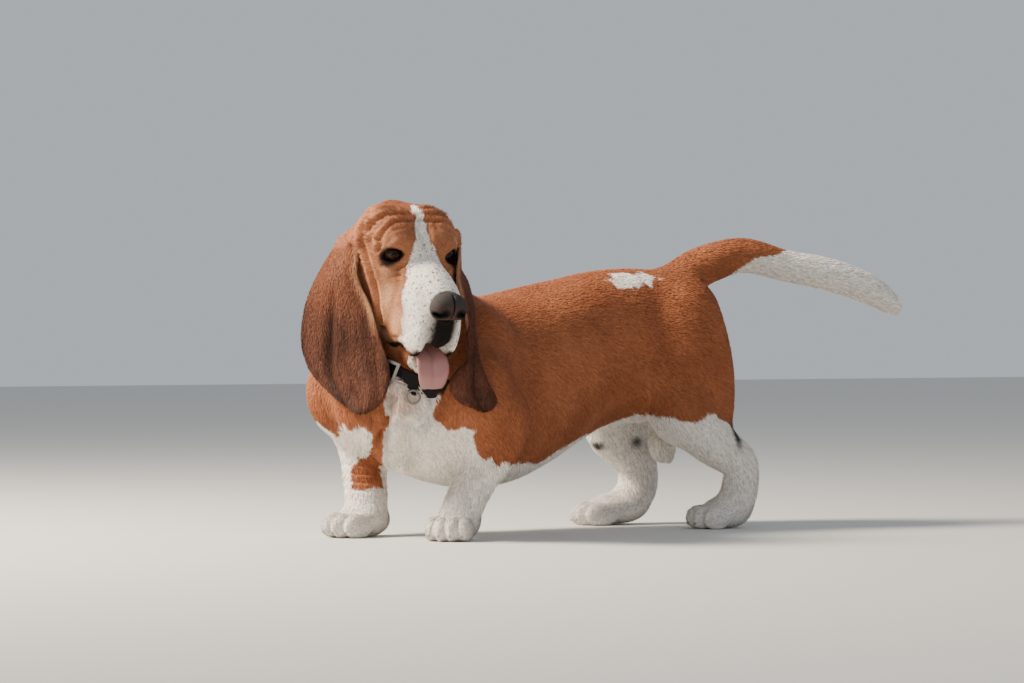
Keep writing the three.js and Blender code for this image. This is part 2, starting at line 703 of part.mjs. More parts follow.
// Eyes, and the openings between the lids
const lookSide = (side) => {
  const out = eye.lookOut * degrees;
  const up = eye.lookUp * degrees;
  return [side * Math.sin(out) * Math.cos(up), Math.cos(out) * Math.cos(up), Math.sin(up)];
};
function eyeBall(side, radius) {
  const geometry = new THREE.SphereGeometry(radius, 14, 9);
  geometry.translate(side * eye.at[0], eye.at[1], eye.at[2]);
  geometry.applyMatrix4(headBasis);
  return solidFrom(geometry);
}
function lidOpening(side) {
  const look = lookSide(side);
  const wide = unit(cross([0, 0, 1], look)).map((v) => -v);
  const high = cross(wide, look);
  const droop = -side * lids.droop * degrees;
  const a = wide.map((v, k) => v * Math.cos(droop) + high[k] * Math.sin(droop));
  const b = high.map((v, k) => v * Math.cos(droop) - wide[k] * Math.sin(droop));
  const geometry = new THREE.SphereGeometry(1, 16, 10);
  geometry.applyMatrix4(new THREE.Matrix4().makeBasis(
    new THREE.Vector3(...a).multiplyScalar(lids.opening[0]),
    new THREE.Vector3(...b).multiplyScalar(lids.opening[1]),
    new THREE.Vector3(...cross(a, b)).multiplyScalar(16)));
  geometry.translate(side * eye.at[0] + look[0] * 12, eye.at[1] + look[1] * 12, eye.at[2] + look[2] * 12);
  geometry.applyMatrix4(headBasis);
  return solidFrom(geometry);
}

// Parting of the flesh, from the head back
const bent = (s, u, z) => bend([s, u, z]);
const headRoom = (p) => {
  const [x, y, z] = toHead(p);
  const mouth = ellipsoid(x - mouthRoom.at[0], y - mouthRoom.at[1], z - mouthRoom.at[2], mouthRoom.radii);
  return join(headField(p), mouth, 10) - cuts.headEdge;
};
const headShell = triangles(skin(headRoom, [[-430, -300, 190], [-200, 30, 490]], cells.head), headRoom);
nodes.head = largest(rest.intersect(solidOf(headShell)));
const headMiddle = fromHead([0, -30, -35]);
const awayFromMiddle = (p) => p.map((v, k) => mix(headMiddle[k], v, 1.006));
const grown = { ...headShell, points: headShell.points.map(awayFromMiddle) };
rest = largest(rest.subtract(solidOf(grown)).subtract(jawParts.wide));
const neckCut = plate(bent(cuts.neck, 0, 276), bentAxis(cuts.neck, [0.45, 0, 0.89]), 330, 300);
rest = part(rest, "neck", neckCut, fromHead([0, -100, -40]));
const tailCut = (i) => {
  const [before, here, after] = [-1, 0, 1].map((k) => tail.line[i + k].slice(0, 3));
  return [here, minus(after, before)];
};
rest = part(rest, "tail_tip", plate(...tailCut(6), 80, 80), tail.line[8].slice(0, 3));
rest = part(rest, "tail_middle", plate(...tailCut(4), 80, 80), tail.line[5].slice(0, 3));
rest = part(rest, "tail_root", plate(...tailCut(2), 84, 84), tail.line[3].slice(0, 3));
for (const [name, side] of [["left", 1], ["right", -1]]) {
  const takeOff = (limb, cutter) => {
    nodes[limb] = largest(rest.intersect(cutter(0)));
    rest = largest(rest.subtract(cutter(gap)));
  };
  const fore = [[36, -12], [36, 60], [60, 84], [168, 146], [168, -12]];
  const hind = [[30, -12], [30, 136], [150, 136], [150, -12]];
  takeOff(`foreleg_${name}`, (by) => legPrism(474, 640, fore, side, by));
  takeOff(`hindleg_${name}`, (by) => legPrism(-60, side > 0 ? 160 : 200, hind, side, by));
}
const crossCut = (s, z) => plate(bent(s, 0, z), bentAxis(s, [1, 0, 0]), 320, 330);
rest = part(rest, "hindquarters", crossCut(cuts.hindquarters, 250), bent(60, 0, 250));
nodes.chest = part(rest, "abdomen", crossCut(cuts.abdomen, 200), bent(300, 0, 200));
for (const name of ["left", "right"]) {
  for (const kind of ["foreleg", "hindleg"]) {
    const leg = legs[`${kind}_${name}`];
    const [s, u] = leg.line[4];
    const limb = `${kind}_${name}`;
    const pawCut = plate(bent(s, u, cuts.pawTop), [0, 0, 1], 140, 140);
    nodes[limb] = part(nodes[limb], `${limb}_paw`, pawCut, bent(...leg.paw.at, 5));
  }
}

// Claws, one on each toe, fused to the paw
function clawAt(leg, i) {
  const turn = leg.paw.heading * degrees;
  const x = (Math.abs(i) < 1 ? paw.toe.middleReach : paw.toe.reach) + claw.ahead;
  const y = i * paw.toe.spread;
  const s = leg.paw.at[0] + x * Math.cos(turn) - y * Math.sin(turn);
  const u = leg.paw.at[1] + x * Math.sin(turn) + y * Math.cos(turn);
  const geometry = new THREE.ConeGeometry(claw.radius, claw.length, 7);
  geometry.rotateX(Math.PI / 2);
  const axis = bentAxis(s, [Math.cos(turn) * 0.9, Math.sin(turn) * 0.9, -0.42]);
  geometry.applyQuaternion(turnedTo(axis));
  geometry.translate(...bent(s, u, claw.height));
  return solidFrom(geometry);
}
for (const [name, leg] of Object.entries(legs)) {
  for (const i of [-1.5, -0.5, 0.5, 1.5]) nodes[`${name}_paw`] = nodes[`${name}_paw`].add(clawAt(leg, i));
  nodes[`${name}_paw`] = largest(nodes[`${name}_paw`].trimByPlane([0, 0, 1], 0));
}

// Head: sockets, nose, mouth
nodes.nose = noseParts.solid;
for (const [name, side] of [["left", 1], ["right", -1]]) {
  nodes[`eye_${name}`] = eyeBall(side, eye.radius);
  nodes.head = nodes.head.subtract(eyeBall(side, eye.radius + gap)).subtract(lidOpening(side));
}
nodes.tongue = tongueMesh(0);
nodes.lower_jaw = largest(jawParts.solid.subtract(tongueMesh(gap)));
nodes.head = largest(nodes.head.subtract(noseParts.wide).subtract(jawParts.wide).subtract(tongueMesh(gap)));

// Collar: a band round the neck, kept just off the skin, with a buckle and a ring
const collarTurn = turnedTo(collar.axis);
const onCollar = (r, angle, z) => new THREE.Vector3(r * Math.cos(angle), r * Math.sin(angle), z)
  .applyQuaternion(collarTurn).add(new THREE.Vector3(...collar.at)).toArray();
const fleshAt = (p) => Math.min(field(p), jawField(...toHead(p)));
function skinReach(angle, side) {
  const turn = angle - collar.ellipse.longAt * degrees;
  const limit = 1 / Math.hypot(Math.cos(turn) / collar.ellipse.long, Math.sin(turn) / collar.ellipse.wide);
  let r = 30;
  while (r < limit && fleshAt(onCollar(r, angle, side * collar.width / 2)) < collar.offSkin) r += 0.5;
  return r;
}
const { sections } = collar;
const collarAngles = Array.from({ length: sections }, (_, i) => (i / sections) * 2 * Math.PI);
const evened = (radii) => radii.map((r, i) =>
  (radii[(i + sections - 1) % sections] + 2 * r + radii[(i + 1) % sections]) / 4);
const reaches = [-1, 1].map((side) => evened(evened(collarAngles.map((angle) => skinReach(angle, side)))));
// Each edge's radius at each angle: the band leans with the skin, up to a limit
const collarRadii = collarAngles.map((_, i) => {
  const middle = (reaches[0][i] + reaches[1][i]) / 2;
  const lean = clamp((reaches[1][i] - reaches[0][i]) / 2, -collar.mostLean, collar.mostLean);
  return [middle - lean, middle + lean];
});
function collarBand(grow) {
  const points = [];
  const faces = [];
  collarAngles.forEach((angle, i) => {
    for (const [r, z] of [[0, -1], [1, -1], [1, 1], [0, 1]]) {
      const radius = collarRadii[i][z < 0 ? 0 : 1] + (r ? collar.thickness + grow : -grow);
      points.push(onCollar(radius, angle, z * (collar.width / 2 + grow)));
    }
    const next = ((i + 1) % sections) * 4;
    for (let k = 0; k < 4; k += 1) {
      const l = (k + 1) % 4;
      faces.push([i * 4 + k, next + k, next + l], [i * 4 + k, next + l, i * 4 + l]);
    }
  });
  return facingOut({ points, faces });
}

function collarPiece(geometry, { angle, out }, along) {
  const i = Math.round((angle / 360) * sections);
  const [low, high] = collarRadii[i];
  const outward = new THREE.Vector3(Math.cos(collarAngles[i]), Math.sin(collarAngles[i]), 0);
  const up = outward.clone().multiplyScalar(high - low).setZ(collar.width).normalize();
  const tangent = new THREE.Vector3(-outward.y, outward.x, 0);
  const off = tangent.clone().cross(up);
  const at = outward.clone().multiplyScalar((low + high) / 2 + collar.thickness)
    .addScaledVector(off, out).addScaledVector(up, along);
  geometry.applyMatrix4(new THREE.Matrix4().makeBasis(tangent, up, off).setPosition(at));
  geometry.applyQuaternion(collarTurn);
  geometry.translate(...collar.at);
  return solidFrom(geometry);
}
const { buckle, ring } = collar;
function buckleBlock(grow, depth) {
  const box = new THREE.BoxGeometry(buckle.width + 2 * grow, buckle.height + 2 * grow, depth);
  return collarPiece(box, buckle, 0);
}
const ringWire = (wire) => collarPiece(new THREE.TorusGeometry(ring.radius, wire, 6, 16), ring, ring.along);
nodes.collar_strap = collarBand(0);
nodes.collar_buckle = buckleBlock(0, buckle.thickness).subtract(buckleBlock(-buckle.rim, 20));
nodes.collar_ring = ringWire(ring.wire);
const clearOfCollar = (solid) => largest(solid.subtract(collarBand(gap))
  .subtract(buckleBlock(gap, buckle.thickness + 2 * gap)).subtract(ringWire(ring.wire + gap)));
for (const name of ["chest", "neck", "head", "lower_jaw"]) nodes[name] = clearOfCollar(nodes[name]);

// Ears: they hang over the collar, pushed out where it passes under them
const backToCollar = collarTurn.clone().invert();
function outsideStrap(p) {
  const q = new THREE.Vector3(...minus(p, collar.at)).applyQuaternion(backToCollar);
  const place = ((Math.atan2(q.y, q.x) / (2 * Math.PI) + 1) % 1) * sections;
  const [i, r] = [Math.floor(place), Math.hypot(q.x, q.y)];
  const outer = (k) => Math.max(...collarRadii[k % sections]) + collar.thickness;
  const strap = mix(outer(i), outer(i + 1), place - i);
  const near = clamp((collar.width / 2 + 20 - Math.abs(q.z)) / 14, 0, 1);
  const short = Math.max(strap + ears.thickness / 2 + ears.offStrap - r, 0) * near;
  q.set(q.x * (1 + short / r), q.y * (1 + short / r), q.z);
  return q.applyQuaternion(collarTurn).add(new THREE.Vector3(...collar.at)).toArray();
}
function earRows(ear) {
  const across = 9;
  const frontRim = { width: 0.2, turnedIn: 6 };
  const lines = [
    { front: fromHead(ear.root[0]), back: fromHead(ear.root[1]), bulge: 0 },
    ...ear.rows.map(([z, front, back, bulge]) => ({ front: [...front, z], back: [...back, z], bulge })),
  ];
  const curve = smoothLine(lines.map((l) => [...l.front, ...l.back, l.bulge]), 2);
  return curve.map((c, i) => {
    const front = c.slice(0, 3);
    const back = c.slice(3, 6);
    const out = unit(cross(minus(back, front), [0, 0, 1])).map((v) => v * ear.side);
    return Array.from({ length: across }, (_, j) => {
      const v = j / (across - 1);
      const rolled = frontRim.turnedIn * Math.max(1 - v / frontRim.width, 0) * Math.min(i / 4, 1);
      const lift = Math.sin(Math.PI * v) * c[6] - rolled;
      let p = front.map((a, k) => mix(a, back[k], v) + out[k] * lift);
      if (i > 3) {
        for (let n = 0; n < 8; n += 1) {
          const clear = p[2] < 300 ? ears.clearLowDown : ears.clear;
          const short = ears.thickness / 2 + clear - Math.min(field(p), 40);
          if (short <= 0) break;
          const g = slope(field, p);
          const flat = unit([g[0], g[1], g[2] * 0.3]);
          p = p.map((a, k) => a + flat[k] * short * 0.8);
        }
      }
      return outsideStrap(p);
    });
  });
}
const bodyWide = largest(solidOf(swollen(bodyMesh, field, gap + 0.05)));
for (const name of ["ear_right", "ear_left"]) {
  const rows = earRows(ears[name]);
  const last = rows[0].length - 1;
  const taper = (isRim) => (isRim ? 0.5 : 1);
  const thickness = (i, j) => ears.thickness * taper(j === 0 || j === last) * taper(i === rows.length - 1);
  const flap = facingOut(sheet(rows, thickness, (i, j) => rowNormal(rows, i, j)));
  nodes[name] = clearOfCollar(flap.subtract(bodyWide));
}

const finishes = {
  rust: { color: 0xa05c42, roughness: 0.85, metalness: 0 },
  chestnut: { color: 0x693e32, roughness: 0.85, metalness: 0 },
  white: { color: 0xebe6dc, roughness: 0.85, metalness: 0 },
  noseLeather: { color: 0x45393a, roughness: 0.45, metalness: 0 },
  tongue: { color: 0xcd9696, roughness: 0.4, metalness: 0 },
  eye: { color: 0x20140f, roughness: 0.08, metalness: 0 },
  strap: { color: 0x1c1a1a, roughness: 0.6, metalness: 0 },
  metal: { color: 0xb8b4aa, roughness: 0.35, metalness: 1 },
};
const finishOf = [
  [/^(foreleg|hindleg)|^tail_tip/, finishes.white],
  [/^ear/, finishes.chestnut],
  [/^nose/, finishes.noseLeather],
  [/^tongue/, finishes.tongue],
  [/^eye/, finishes.eye],
  [/^collar_strap/, finishes.strap],
  [/^collar/, finishes.metal],
  [/./, finishes.rust],
];

// The origin is the middle of the bounding box in plan, on the floor
const boxes = Object.values(nodes).map((solid) => solid.boundingBox());
const shift = [0, 1].map((k) =>
  -(Math.min(...boxes.map((box) => box.min[k])) + Math.max(...boxes.map((box) => box.max[k]))) / 2);
const group = new THREE.Group();
for (const [name, shape] of Object.entries(nodes)) {
  const solid = shape.translate(...shift, 0).asOriginal().simplify(0.04);
  const { vertProperties, triVerts } = solid.getMesh();
  const geometry = new THREE.BufferGeometry();
  geometry.setAttribute("position", new THREE.BufferAttribute(new Float32Array(vertProperties), 3));
  geometry.setIndex(new THREE.BufferAttribute(new Uint32Array(triVerts), 1));
  const finish = finishOf.find(([test]) => test.test(name))[1];
  const mesh = new THREE.Mesh(geometry, new THREE.MeshStandardMaterial(finish));
  mesh.name = name;
  group.add(mesh);
}

export default group;
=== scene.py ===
import math

import bmesh
import bpy
import numpy as np
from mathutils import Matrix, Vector
from mathutils.bvhtree import BVHTree


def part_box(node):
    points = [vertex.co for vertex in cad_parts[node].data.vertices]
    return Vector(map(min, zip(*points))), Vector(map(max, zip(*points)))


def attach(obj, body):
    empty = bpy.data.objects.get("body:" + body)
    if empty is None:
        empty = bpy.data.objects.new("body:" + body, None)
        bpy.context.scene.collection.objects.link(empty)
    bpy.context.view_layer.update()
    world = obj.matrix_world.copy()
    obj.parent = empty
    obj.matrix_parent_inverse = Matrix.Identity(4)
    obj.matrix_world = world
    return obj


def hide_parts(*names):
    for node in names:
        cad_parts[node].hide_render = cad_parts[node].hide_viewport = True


print("frame")
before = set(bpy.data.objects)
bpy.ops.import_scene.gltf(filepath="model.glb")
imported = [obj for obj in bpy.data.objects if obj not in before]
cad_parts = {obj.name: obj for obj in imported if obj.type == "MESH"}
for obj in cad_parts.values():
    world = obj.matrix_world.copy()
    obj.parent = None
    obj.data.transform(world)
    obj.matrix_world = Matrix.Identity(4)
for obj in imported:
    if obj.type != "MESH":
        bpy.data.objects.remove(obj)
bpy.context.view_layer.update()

# Shape of the hound in millimetres: s from buttocks to breast, u to its left, z up, then bent to the left
spine = {"startX": 284, "startY": 20, "startHeading": -11, "bendRadius": 930}
trunk = {
    "s": [20, 60, 110, 160, 210, 260, 320, 380, 440, 500, 550, 600],
    "top": [343, 360, 370, 371, 366, 356, 345, 334, 327, 322, 305, 280],
    "bottom": [205, 172, 152, 148, 140, 118, 90, 70, 64, 72, 88, 112],
    "halfWidth": [60, 80, 90, 92, 95, 103, 111, 116, 117, 113, 104, 88],
    "widest": [285, 280, 272, 266, 256, 242, 226, 212, 206, 205, 205, 205],
    "squareness": 2.25,
    "rearCap": (52, 42),
    "frontCap": (555, 80),
}
# Flesh over the trunk: centre, radii, lean, width of the blend
flesh = {
    "croup": ((78, 36, 312), (62, 48, 44), 0, 28),
    "thigh": ((84, 70, 232), (74, 42, 102), -8, 24),
    "thighBack": ((42, 70, 190), (38, 34, 76), 4, 22),
    "knee": ((110, 82, 164), (38, 28, 40), 0, 24),
    "scrotum": ((84, 8, 116), (17, 13, 25), 10, 10),
    "shoulderBlade": ((508, 84, 240), (58, 40, 76), 16, 26),
    "shoulderPoint": ((566, 108, 198), (58, 48, 64), 0, 36),
    "upperArm": ((530, 108, 165), (48, 36, 50), 0, 24),
    "breastbone": ((612, 34, 184), (48, 46, 52), 0, 36),
}
# Legs: centre line with radii, then the paw's place and heading
legs = {
    "foreLeft": {
        "line": [(512, 112, 165, 42), (518, 110, 130, 36), (538, 92, 85, 30), (552, 80, 50, 29),
                 (560, 78, 30, 29)],
        "paw": (572, 76, 14),
    },
    "foreRight": {
        "line": [(518, -116, 165, 42), (524, -112, 130, 36), (540, -96, 85, 30), (550, -86, 50, 29),
                 (556, -84, 30, 29)],
        "paw": (566, -82, -14),
    },
    "hindLeft": {
        "line": [(98, 84, 165, 38), (58, 88, 128, 34), (4, 88, 96, 29), (-2, 86, 62, 29), (6, 84, 34, 30)],
        "paw": (30, 82, 6),
    },
    "hindRight": {
        "line": [(128, -76, 165, 38), (118, -80, 128, 34), (84, -82, 94, 29), (80, -80, 58, 28),
                 (92, -78, 34, 29)],
        "paw": (124, -76, -6),
    },
}
paw = {
    "pad": (-4, 22, (38, 30, 24)),
    "toeHeight": 15,
    "toeRadii": (25, 11.5, 19.5),
    "spread": 15.5,
    "reach": 24,
    "middleReach": 33,
}
# Head: x to its left, y along the muzzle, z up, from between the eyes
head = {"at": (-313, -141, 382), "heading": 4.3, "pitch": -27.4}
skull = {
    "cranium": ((0, -52, -2), (55, 70, 41), 0, 1),
    "occiput": ((0, -104, 8), (24, 20, 20), 0, 18),
    "temple": ((33, -48, 13), (25, 48, 27), 0, 22),
    "brow": ((27, -9, 17), (22, 20, 13), 0, 16),
    "cheekbone": ((42, -38, -26), (20, 46, 30), 0, 20),
    "cheek": ((36, -12, -62), (20, 46, 44), 20, 22),
    "muzzle": ((0, 42, -30), (35, 66, 30), -4, 18),
    "bridge": ((0, 44, -12), (20, 62, 17), -6, 14),
    "flew": ((24, 62, -66), (14, 34, 48), 27.4, 14),
    "flewBack": ((31, 24, -72), (14, 36, 42), 27.4, 14),
    "muzzleFront": ((0, 84, -50), (24, 20, 40), 20, 12),
    "throat": ((0, -44, -70), (44, 54, 44), 0, 26),
}
jaw = {
    "jawBone": ((0, 6, -112), (22, 62, 17), -13, 1),
    "chin": ((0, 60, -126), (16, 22, 16), 0, 12),
    "lowerLip": ((17, 36, -114), (9, 40, 15), -13, 9),
}
noseShape = {
    "pad": ((0, 100, -24), (24, 18, 19), 0, 1),
    "wing": ((15, 103, -28), (11, 13, 13), 0, 6),
}
nostrils = {
    "hole": ((11, 119, -28), (5, 9, 4.5), 0, 4),
    "slit": ((20, 112, -31), (6, 9, 3), 0, 4),
}
neck = {
    "line": [(-226, -20, 250, 92), (-258, -34, 300, 76), (-288, -52, 346, 66), (-304, -70, 384, 52)],
    "dewlap": [(-304, -70, 286, 36), (-310, -94, 238, 32), (-312, -98, 190, 33)],
    "blend": 40,
}
tail = {
    "line": [(206, 26, 330, 34), (241, 31, 360, 31), (281, 21, 381, 28.5), (334, 11, 391, 26),
             (393, -4, 377, 23.5), (456, -21, 365, 24.5), (516, -38, 345, 23), (548, -47, 326, 18),
             (560, -50, 316, 12)],
    "blend": 24,
}
eye = {"at": (38, -9, 0), "radius": 11.5, "lookOut": 28, "lookUp": 4, "droop": -30}
tongue = {
    "line": [(0, 8, -104, 16), (0, 52, -104, 19), (0, 84, -109, 22), (0, 101, -124, 23), (0, 107, -143, 19)],
    "thickness": 7,
}
# Ears: rows of height, front rim, back rim and how far each bulges out
ears = {
    "right": {
        "root": [(-50, -52, 8), (-42, -98, 2)],
        "side": -1,
        "rows": [
            (400, (-376, -82), (-372, -24), 6), (355, (-387, -88), (-400, -14), 9),
            (312, (-371, -114), (-406, 8), 12), (262, (-358, -127), (-404, 18), 12),
            (222, (-357, -128), (-398, -3), 9), (192, (-364, -121), (-383, -43), 6),
            (174, (-372, -106), (-378, -76), 3),
        ],
    },
    "left": {
        "root": [(50, -52, 8), (42, -98, 2)],
        "side": 1,
        "rows": [
            (398, (-262, -122), (-256, -70), 6), (355, (-262, -160), (-232, -100), 8),
            (330, (-266, -172), (-226, -112), 7), (312, (-270, -178), (-226, -129), 6),
            (281, (-268, -176), (-244, -162), 5), (245, (-274, -172), (-253, -190), 5),
            (215, (-282, -170), (-245, -199), 5), (200, (-282, -173), (-238, -202), 4),
            (188, (-274, -181), (-232, -202), 3), (178, (-258, -191), (-238, -200), 2),
        ],
    },
}
earThickness = 6
collar = {"at": (-262, -44, 286), "axis": (-0.05, -0.6, 0.8), "width": 22, "offStrap": 1.5}

heading0 = math.radians(spine["startHeading"])
arcX = spine["startX"] + spine["bendRadius"] * math.sin(heading0)
arcY = spine["startY"] - spine["bendRadius"] * math.cos(heading0)
headTurn = math.radians(head["heading"])
headPitch = math.radians(head["pitch"])
headAxes = np.array([
    (math.cos(headTurn), -math.sin(headTurn), 0),
    (-math.sin(headTurn) * math.cos(headPitch), -math.cos(headTurn) * math.cos(headPitch),
     math.sin(headPitch)),
    (math.sin(headTurn) * math.sin(headPitch), math.cos(headTurn) * math.sin(headPitch), math.cos(headPitch)),
])


def straighten(p):
    dx = p[:, 0] - arcX
    dy = p[:, 1] - arcY
    s = spine["bendRadius"] * (np.arctan2(-dx, dy) - heading0)
    return np.stack([s, spine["bendRadius"] - np.hypot(dx, dy), p[:, 2]], axis=1)


def bend(q):
    q = np.atleast_2d(np.asarray(q, float))
    heading = heading0 + q[:, 0] / spine["bendRadius"]
    r = spine["bendRadius"] - q[:, 1]
    return np.stack([arcX - r * np.sin(heading), arcY + r * np.cos(heading), q[:, 2]], axis=1)


def toHead(p):
    return (p - np.array(head["at"], float)) @ headAxes.T


def fromHead(q):
    return np.array(head["at"], float) + np.asarray(q, float) @ headAxes


def joined(a, b, k):
    h = np.maximum(k - np.abs(a - b), 0) / k
    return np.minimum(a, b) - h * h * k * 0.25


def station(xs, ys, x):
    xs = np.array(xs, float)
    ys = np.array(ys, float)
    before = np.maximum(np.arange(len(xs)) - 1, 0)
    after = np.minimum(np.arange(len(xs)) + 1, len(xs) - 1)
    slopes = (ys[after] - ys[before]) / (xs[after] - xs[before])
    x = np.clip(x, xs[0], xs[-1])
    i = np.clip(np.searchsorted(xs, x, side="right") - 1, 0, len(xs) - 2)
    w = xs[i + 1] - xs[i]
    t = (x - xs[i]) / w
    t2 = t * t
    t3 = t2 * t
    return (ys[i] * (2 * t3 - 3 * t2 + 1) + slopes[i] * w * (t3 - 2 * t2 + t)
            + ys[i + 1] * (3 * t2 - 2 * t3) + slopes[i + 1] * w * (t3 - t2))


def ellipsoid(x, y, z, radii):
    k0 = np.sqrt((x / radii[0]) ** 2 + (y / radii[1]) ** 2 + (z / radii[2]) ** 2)
    k1 = np.sqrt((x / radii[0] ** 2) ** 2 + (y / radii[1] ** 2) ** 2 + (z / radii[2] ** 2) ** 2)
    return np.where(k1 < 1e-9, -min(radii), k0 * (k0 - 1) / np.maximum(k1, 1e-9))


def smoothLine(line, steps=4):
    line = np.array(line, float)
    out = []
    for i in range(len(line) - 1):
        a, b, c, d = line[max(i - 1, 0)], line[i], line[i + 1], line[min(i + 2, len(line) - 1)]
        for j in range(steps):
            t = j / steps
            out.append(0.5 * (2 * b + (c - a) * t + (2 * a - 5 * b + 4 * c - d) * t * t
                              + (3 * b - a - 3 * c + d) * t * t * t))
    out.append(line[-1])
    return np.array(out)


def strand(p, line):
    best = np.full(len(p), np.inf)
    for a, b in zip(line[:-1], line[1:]):
        run = b[:3] - a[:3]
        rel = p - a[:3]
        t = np.clip(rel @ run / (run @ run), 0, 1)
        radius = a[3] + (b[3] - a[3]) * t
        best = np.minimum(best, np.linalg.norm(rel - t[:, None] * run, axis=1) - radius)
    return best


def trunkShape(s, u, z):
    top = station(trunk["s"], trunk["top"], s)
    bottom = station(trunk["s"], trunk["bottom"], s)
    half = station(trunk["s"], trunk["halfWidth"], s)
    mid = station(trunk["s"], trunk["widest"], s)
    n = trunk["squareness"]
    high = np.where(z > mid, top - mid, mid - bottom)
    a = np.abs(u) / half
    b = np.abs(z - mid) / high
    rear, rearReach = trunk["rearCap"]
    front, frontReach = trunk["frontCap"]
    reach = np.where(s < rear, rearReach, frontReach)
    c = np.maximum(0, np.maximum((rear - s) / rearReach, (s - front) / frontReach))
    q = (a ** n + b ** n + c ** n) ** (1 / n)
    g = np.sqrt((a ** (n - 1) / half) ** 2 + (b ** (n - 1) / high) ** 2 + (c ** (n - 1) / reach) ** 2)
    g = g * np.maximum(q, 1e-6) ** (1 - n)
    return np.where(g < 1e-9, -half, (q - 1) / np.maximum(g, 1e-9))


def leaned(a, b, lean):
    c = math.cos(math.radians(lean))
    s = math.sin(math.radians(lean))
    return a * c - b * s, a * s + b * c


legLines = {name: smoothLine(leg["line"]) for name, leg in legs.items()}
neckLine = smoothLine(neck["line"])
dewlapLine = smoothLine(neck["dewlap"])
tailLine = smoothLine(tail["line"])


def pawShape(q, place):
    turn = math.radians(place[2])
    ds = q[:, 0] - place[0]
    du = q[:, 1] - place[1]
    x = ds * math.cos(turn) + du * math.sin(turn)
    y = -ds * math.sin(turn) + du * math.cos(turn)
    at, height, radii = paw["pad"]
    d = ellipsoid(x - at, y, q[:, 2] - height, radii)
    for i in (-1.5, -0.5, 0.5, 1.5):
        reach = paw["middleReach"] if abs(i) < 1 else paw["reach"]
        toe = ellipsoid(x - reach, y - i * paw["spread"], q[:, 2] - paw["toeHeight"], paw["toeRadii"])
        d = joined(d, toe, 6)
    return d


def bodyField(p):
    q = straighten(p)
    s, u, z = q.T
    d = trunkShape(s, u, z)
    for at, radii, lean, width in flesh.values():
        a, c = leaned(s - at[0], z - at[2], lean)
        d = joined(d, ellipsoid(a, np.abs(u) - at[1], c, radii), width)
    for name, leg in legs.items():
        place = leg["paw"]
        near = (z <= 240) & (np.abs(s - place[0]) <= 160) & (u * place[1] >= 0)
        if not near.any():
            continue
        part = joined(d[near], strand(q[near], legLines[name]), 22)
        d[near] = joined(part, pawShape(q[near], place), 12)
    return d


def headParts(parts, h, start=1e3):
    d = np.full(len(h), start)
    for at, radii, lean, width in parts.values():
        x = h[:, 0] if at[0] == 0 else np.abs(h[:, 0])
        y, z = leaned(h[:, 1] - at[1], h[:, 2] - at[2], -lean)
        d = joined(d, ellipsoid(x - at[0], y, z, radii), width)
    return d


def plainField(p):
    d = bodyField(p)
    d = joined(d, strand(p, tailLine), tail["blend"])
    h = headParts(skull, toHead(p))
    h = joined(h, strand(p, neckLine), 30)
    h = joined(h, strand(p, dewlapLine), 36)
    return joined(d, h, neck["blend"])


def slope(distance, p, e=0.5):
    steps = np.eye(3) * e
    return np.stack([(distance(p + step) - distance(p - step)) / (2 * e) for step in steps], axis=1)


def settle(distance, p, most, rounds=2):
    for _ in range(rounds):
        g = slope(distance, p)
        step = distance(p) / np.maximum((g * g).sum(axis=1), 0.05)
        p = p - g * np.clip(step, -most, most)[:, None]
    return p


print("ear sheets")


def unit(v):
    return v / np.maximum(np.linalg.norm(v, axis=-1, keepdims=True), 1e-9)


toRow = np.array(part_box("eye_left")[0]) + np.array(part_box("eye_left")[1])
toRow = toRow / 2 * 1000 - fromHead(eye["at"])
toRow[2] = 0


# The collar's outer radius at each angle round its axis, from its own solid
def strapRadii():
    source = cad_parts["collar_strap"]
    points = np.array([source.matrix_world @ v.co for v in source.data.vertices]) * 1000 - toRow
    axis = Vector(collar["axis"]).normalized()
    turn = np.array(Vector((0, 0, 1)).rotation_difference(axis).to_matrix())
    q = (points - np.array(collar["at"])) @ turn
    places = np.linspace(0, 2 * math.pi, 73)
    angle = np.arctan2(q[:, 1], q[:, 0]) % (2 * math.pi)
    gap = np.abs((angle[None, :] - places[:, None] + math.pi) % (2 * math.pi) - math.pi)
    return turn, places, np.where(gap < 0.12, np.hypot(q[:, 0], q[:, 1])[None, :], 0).max(axis=1)


strapTurn, strapPlaces, strapOuter = strapRadii()


def outsideStrap(p):
    q = (p - np.array(collar["at"])) @ strapTurn
    r = np.hypot(q[:, 0], q[:, 1])
    outer = np.interp(np.arctan2(q[:, 1], q[:, 0]) % (2 * math.pi), strapPlaces, strapOuter)
    near = np.clip((collar["width"] / 2 + 46 - np.abs(q[:, 2])) / 40, 0, 1)
    short = np.maximum(outer + earThickness / 2 + collar["offStrap"] - r, 0) * near * near * (3 - 2 * near)
    q[:, :2] *= (1 + short / r)[:, None]
    return np.array(collar["at"]) + q @ strapTurn.T


# The sheets ripple, each has one long crease, and the lower corners are round
earFolds = {
    "steps": 8, "across": 33, "ripple": 1.8, "crease": 9.0, "creaseWidth": 0.055, "rounded": 0.14,
    "right": (0.42, 0.95), "left": (0.70, 0.42), "hugAbove": 335, "hugGap": 5, "smoothing": 6,
}
earCreases = {}


